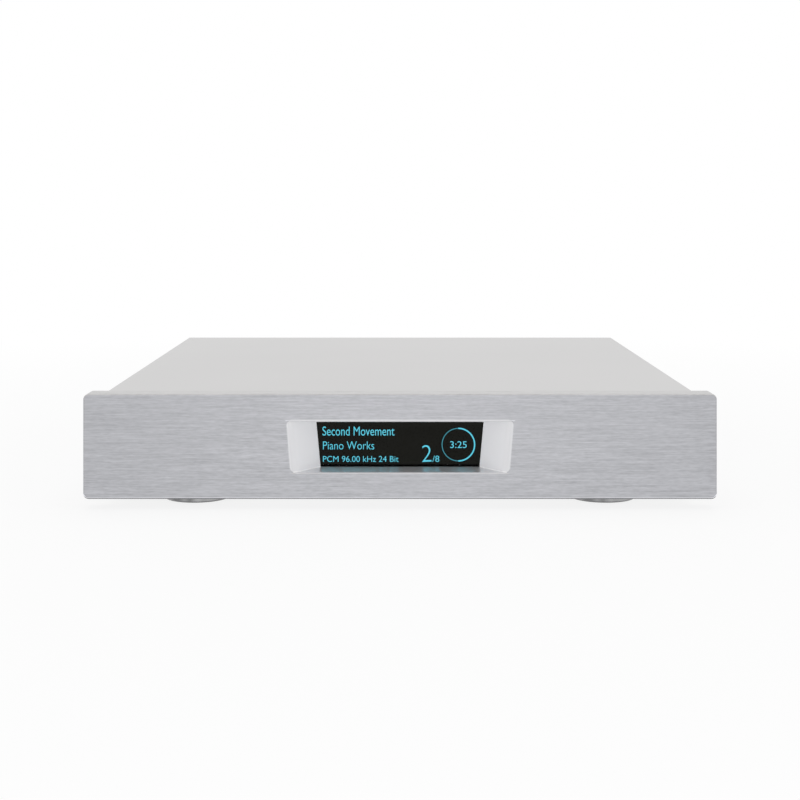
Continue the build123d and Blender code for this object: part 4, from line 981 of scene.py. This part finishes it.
class STREAMER_OT_socket_finish(bpy.types.Operator):
    """Finishes the sockets, the earth terminal and their contacts"""

    bl_idname = "streamer.socket_finish"
    bl_label = "Finish the Sockets"

    def execute(self, context):
        looks = context.scene.streamer_looks
        bright = ("coax_socket", "coax_nut", "ground_stud", "ground_washer")
        shells = ("balanced_socket_left", "balanced_socket_right")
        contacts = ("line_sockets", "balanced_pins", "network_contacts", "board_standoffs")
        dress_each(
            plating,
            ("bright_nickel", bright, looks.nickel, 0.2),
            ("satin_nickel", shells, looks.nickel, 0.32),
            ("bright_gold", contacts, looks.gold, 0.22),
            ("knurled_gold", ["ground_nut"], looks.gold, 0.28),
        )
        tinned_shell(looks).dress("usb_socket", "network_socket")
        white, red, grain = (0.78, 0.77, 0.74), (0.5, 0.02, 0.015), looks.grain
        dress_each(
            moulded,
            ("socket_core", ["network_insert", "usb_tongues"], looks.plastic, grain, 0.4),
            ("white_core", ["coax_core"], white, grain, 0.3),
            ("left_core", ["line_insulator_left"], white, grain, 0.3),
            ("right_core", ["line_insulator_right"], red, grain, 0.3),
        )
        return {"FINISHED"}


class STREAMER_OT_socket_lamps(bpy.types.Operator):
    """Adds the two status lamps in the lower corners of the network socket"""

    bl_idname = "streamer.socket_lamps"
    bl_label = "Add the Network Lamps"

    def execute(self, context):
        width, height, thickness = 0.0022, 0.0016, 0.0003
        from_side, from_bottom = 0.0016, 0.0012
        amber, green = (0.75, 0.42, 0.05), (0.12, 0.6, 0.1)
        lower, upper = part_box("network_insert")
        reach = (upper.x - lower.x) / 2 - from_side
        for side, name, colour in (
            (-1, "network_lamp_link", amber), (1, "network_lamp_data", green)
        ):
            lens = bar(width, height, thickness)
            x = (lower.x + upper.x) / 2 + side * reach
            lens.rotation_euler = FACES_REAR
            lens.location = (x, upper.y + thickness / 2, lower.z + from_bottom)
            settle(lens, name, "case", lamp_lens(name, colour))
        return {"FINISHED"}


class STREAMER_OT_rear_marks(bpy.types.Operator):
    """Prints the plain words and channel letters on the rear panel"""

    bl_idname = "streamer.rear_marks"
    bl_label = "Print the Rear Marks"

    def execute(self, context):
        marks = context.scene.streamer_marks
        ink = printed_ink("rear_ink", context.scene.streamer_looks.ink)
        balanced = ("balanced_socket_left", "balanced_socket_right")
        line = ("line_insulator_left", "line_insulator_right")
        word, letter = marks.letter_height, marks.channel_height
        # Each text and its name, the nodes that it is centred on, how far it is above the
        # middle of the panel, and its height
        for row in (
            ("BALANCED OUT", "word_balanced", balanced, 0.0188, word),
            ("LINE OUT", "word_line", line, 0.0118, word),
            ("DIGITAL IN", "word_digital", ["coax_nut"], 0.0028, word),
            ("NETWORK", "word_network", ["network_insert"], 0.0028, word),
            ("DATA", "word_data", ["usb_socket"], 0.0028, word),
            ("POWER", "word_power", ["switch_frame"], 0.0138, word),
            ("AC IN", "word_mains", ["mains_inlet"], 0.0188, word),
            ("L", "channel_line_left", line[:1], -0.0142, letter),
            ("R", "channel_line_right", line[1:], -0.0142, letter),
            ("L", "channel_balanced_left", balanced[:1], -0.0212, letter),
            ("R", "channel_balanced_right", balanced[1:], -0.0212, letter),
        ):
            printed_word(*row, ink, marks.thickness)
        return {"FINISHED"}


class STREAMER_OT_earth_mark(bpy.types.Operator):
    """Prints the earth sign above the earth terminal"""

    bl_idname = "streamer.earth_mark"
    bl_label = "Print the Earth Sign"

    def execute(self, context):
        marks = context.scene.streamer_marks
        ink = printed_ink("earth_ink", context.scene.streamer_looks.ink)
        sign_up = 0.0018
        strokes = []
        # Each stroke's width and height, and how far up the sign it is
        for width, height, up in (
            (marks.line, 0.0028, 0.0014),
            (0.0052, marks.line, 0.0),
            (0.0034, marks.line, -0.0013),
            (0.0016, marks.line, -0.0026),
        ):
            stroke = bar(width, height, marks.thickness)
            stroke.location = (0, up, 0)
            strokes.append(stroke)
        sign = take(strokes[0])
        for stroke in strokes:
            stroke.select_set(True)
        bpy.ops.object.join()
        apply_place(sign)
        sign.rotation_euler = FACES_REAR
        sign.location = (
            middle("ground_nut").x, rear_face_y + marks.thickness / 2, panel_middle_z + sign_up
        )
        settle(sign, "earth_sign", "case", ink)
        return {"FINISHED"}


class STREAMER_OT_inside_finish(bpy.types.Operator):
    """Finishes the boards, the parts on them, the transformer and the wiring"""

    bl_idname = "streamer.inside_finish"
    bl_label = "Finish the Inside"

    def execute(self, context):
        looks = context.scene.streamer_looks
        circuit(looks).dress(
            "main_board", "analog_board", "power_board", "processor_module", "display_board"
        )
        chip_package().dress("board_chips")
        dress_each(
            moulded,
            ("anodised_sink", ["heat_sinks"], (0.03, 0.03, 0.031), 0.0006, 0.5),
            ("potted_shell", ["coupling_transformers"], (0.015, 0.03, 0.085), 0.0007, 0.3),
            ("wire_sleeve", ["leads"], (0.05, 0.05, 0.053), 0.001, 0.45),
        )
        sleeved_can(looks).dress("capacitors")
        wound_tape().dress("transformer_ring")
        striped_ribbon().dress("display_ribbon")
        return {"FINISHED"}


class STREAMER_OT_camera(bpy.types.Operator):
    """Sets the camera level, a little above the case, with its lens shifted down"""

    bl_idname = "streamer.camera"
    bl_label = "Set the Camera"

    def execute(self, context):
        studio = context.scene.streamer_studio
        clear_selection()
        bpy.ops.object.camera_add(
            location=(0, front_y - studio.distance, studio.height), rotation=FACES_FRONT
        )
        camera = context.object
        camera.name = "camera"
        camera.data.lens = studio.lens
        camera.data.sensor_width = SENSOR_WIDTH
        camera.data.shift_y = studio.shift
        camera.data.clip_start, camera.data.clip_end = NEAREST_SEEN, FARTHEST_SEEN
        context.scene.camera = camera
        return {"FINISHED"}


def white_world(studio):
    """White where it is seen, and at the sky's strength where it lights the object."""
    world = bpy.data.worlds.new("white_world")
    bpy.context.scene.world = world
    tree = Tree(world)
    background = tree.first("BACKGROUND")
    tree.feed(background, "Color", WHITE)
    tree.feed(background, "Strength", tree.between(tree.seen(), 0.0, 1.0, studio.sky, 1.0))


def pale_floor():
    """White as the backdrop, with the object's shadow kept in it near the object."""
    near, far, near_share = 0.25, 0.9, 0.84
    finish = Finish("pale_floor", (0.9, 0.9, 0.9), roughness=0.9)
    finish.paint(finish.toned(finish.specks(0.4, detail=1), 0.005))
    away = finish.distance(finish.position())
    amount = finish.between(away, near, far, near_share, 1.0)
    glow = finish.add("ShaderNodeEmission")
    values = {
        0: finish.times(finish.seen(), amount), 1: finish.surface.outputs[0], 2: glow.outputs[0]
    }
    blend = finish.add("ShaderNodeMixShader", values)
    finish.feed(finish.first("OUTPUT_MATERIAL"), "Surface", blend.outputs[0])
    return finish


def softbox(name, place, size, power, mirrored):
    """A lamp that looks at the front of the object, and may show in metal."""
    clear_selection()
    aim = Vector((0, 0, panel_middle_z)) - Vector(place)
    turn = aim.to_track_quat("-Z", "Y").to_euler()
    bpy.ops.object.light_add(type="AREA", location=place, rotation=turn)
    lamp = bpy.context.object
    lamp.name = name
    lamp.data.shape = "RECTANGLE"
    lamp.data.size, lamp.data.size_y = size
    lamp.data.energy = power
    lamp.visible_glossy = mirrored


class STREAMER_OT_stage(bpy.types.Operator):
    """Lays the pale floor, hangs the softboxes and sets the white surroundings"""

    bl_idname = "streamer.stage"
    bl_label = "Set the Stage"

    def execute(self, context):
        studio = context.scene.streamer_studio
        context.scene.view_settings.view_transform = "Standard"
        white_world(studio)
        clear_selection()
        under_feet = -0.0001
        bpy.ops.mesh.primitive_plane_add(size=studio.floor_size, location=(0, 0, under_feet))
        floor = context.object
        floor.name = floor.data.name = "floor"
        floor.data.materials.append(pale_floor().material)
        square, strip, strip_height = (1.0, 1.0), (0.5, 0.06), 0.032
        softbox("top_softbox", (0, 0.1, 1.5), (1.6, 1.4), studio.top_lamp, False)
        for side, name in ((-1, "left_softbox"), (1, "right_softbox")):
            softbox(name, (1.5 * side, -0.35, 0.6), square, studio.side_lamps, False)
            low_place = (0.9 * side, -1.35, strip_height)
            softbox(name + "_strip", low_place, strip, studio.low_lamps, True)
        softbox("front_strip", (0, -1.5, strip_height), strip, studio.front_lamp, True)
        return {"FINISHED"}


class STREAMER_PT_panel(bpy.types.Panel):
    """Lists the sizes and colours, and the operators that use them"""

    bl_idname = "STREAMER_PT_panel"
    bl_label = "Music Streamer"
    bl_space_type = "VIEW_3D"
    bl_region_type = "UI"
    bl_category = "Streamer"

    def draw(self, context):
        for group, kind in GROUPS.items():
            box = self.layout.box()
            for name in kind.__annotations__:
                box.prop(getattr(context.scene, group), name)
        for operator in OPERATORS:
            self.layout.operator(operator.bl_idname)


GROUPS = {
    "streamer_looks": StreamerLooks,
    "streamer_page": StreamerPage,
    "streamer_marks": StreamerMarks,
    "streamer_studio": StreamerStudio,
}
OPERATORS = (
    STREAMER_OT_camera,
    STREAMER_OT_stage,
    STREAMER_OT_case_finish,
    STREAMER_OT_feet_finish,
    STREAMER_OT_fastener_finish,
    STREAMER_OT_window_finish,
    STREAMER_OT_page_words,
    STREAMER_OT_time_ring,
    STREAMER_OT_mains_finish,
    STREAMER_OT_rocker_marks,
    STREAMER_OT_socket_finish,
    STREAMER_OT_socket_lamps,
    STREAMER_OT_rear_marks,
    STREAMER_OT_earth_mark,
    STREAMER_OT_inside_finish,
)
CLASSES = (*GROUPS.values(), *OPERATORS, STREAMER_PT_panel)


def register():
    for kind in CLASSES:
        bpy.utils.register_class(kind)
    for name, kind in GROUPS.items():
        setattr(bpy.types.Scene, name, bpy.props.PointerProperty(type=kind))


def unregister():
    for name in GROUPS:
        delattr(bpy.types.Scene, name)
    for kind in reversed(CLASSES):
        bpy.utils.unregister_class(kind)


def main():
    register()
    for operator in OPERATORS:
        group, name = operator.bl_idname.split(".")
        if getattr(getattr(bpy.ops, group), name)() != {"FINISHED"}:
            raise RuntimeError(operator.bl_label + " didn't finish")


if __name__ == "__main__":
    main()
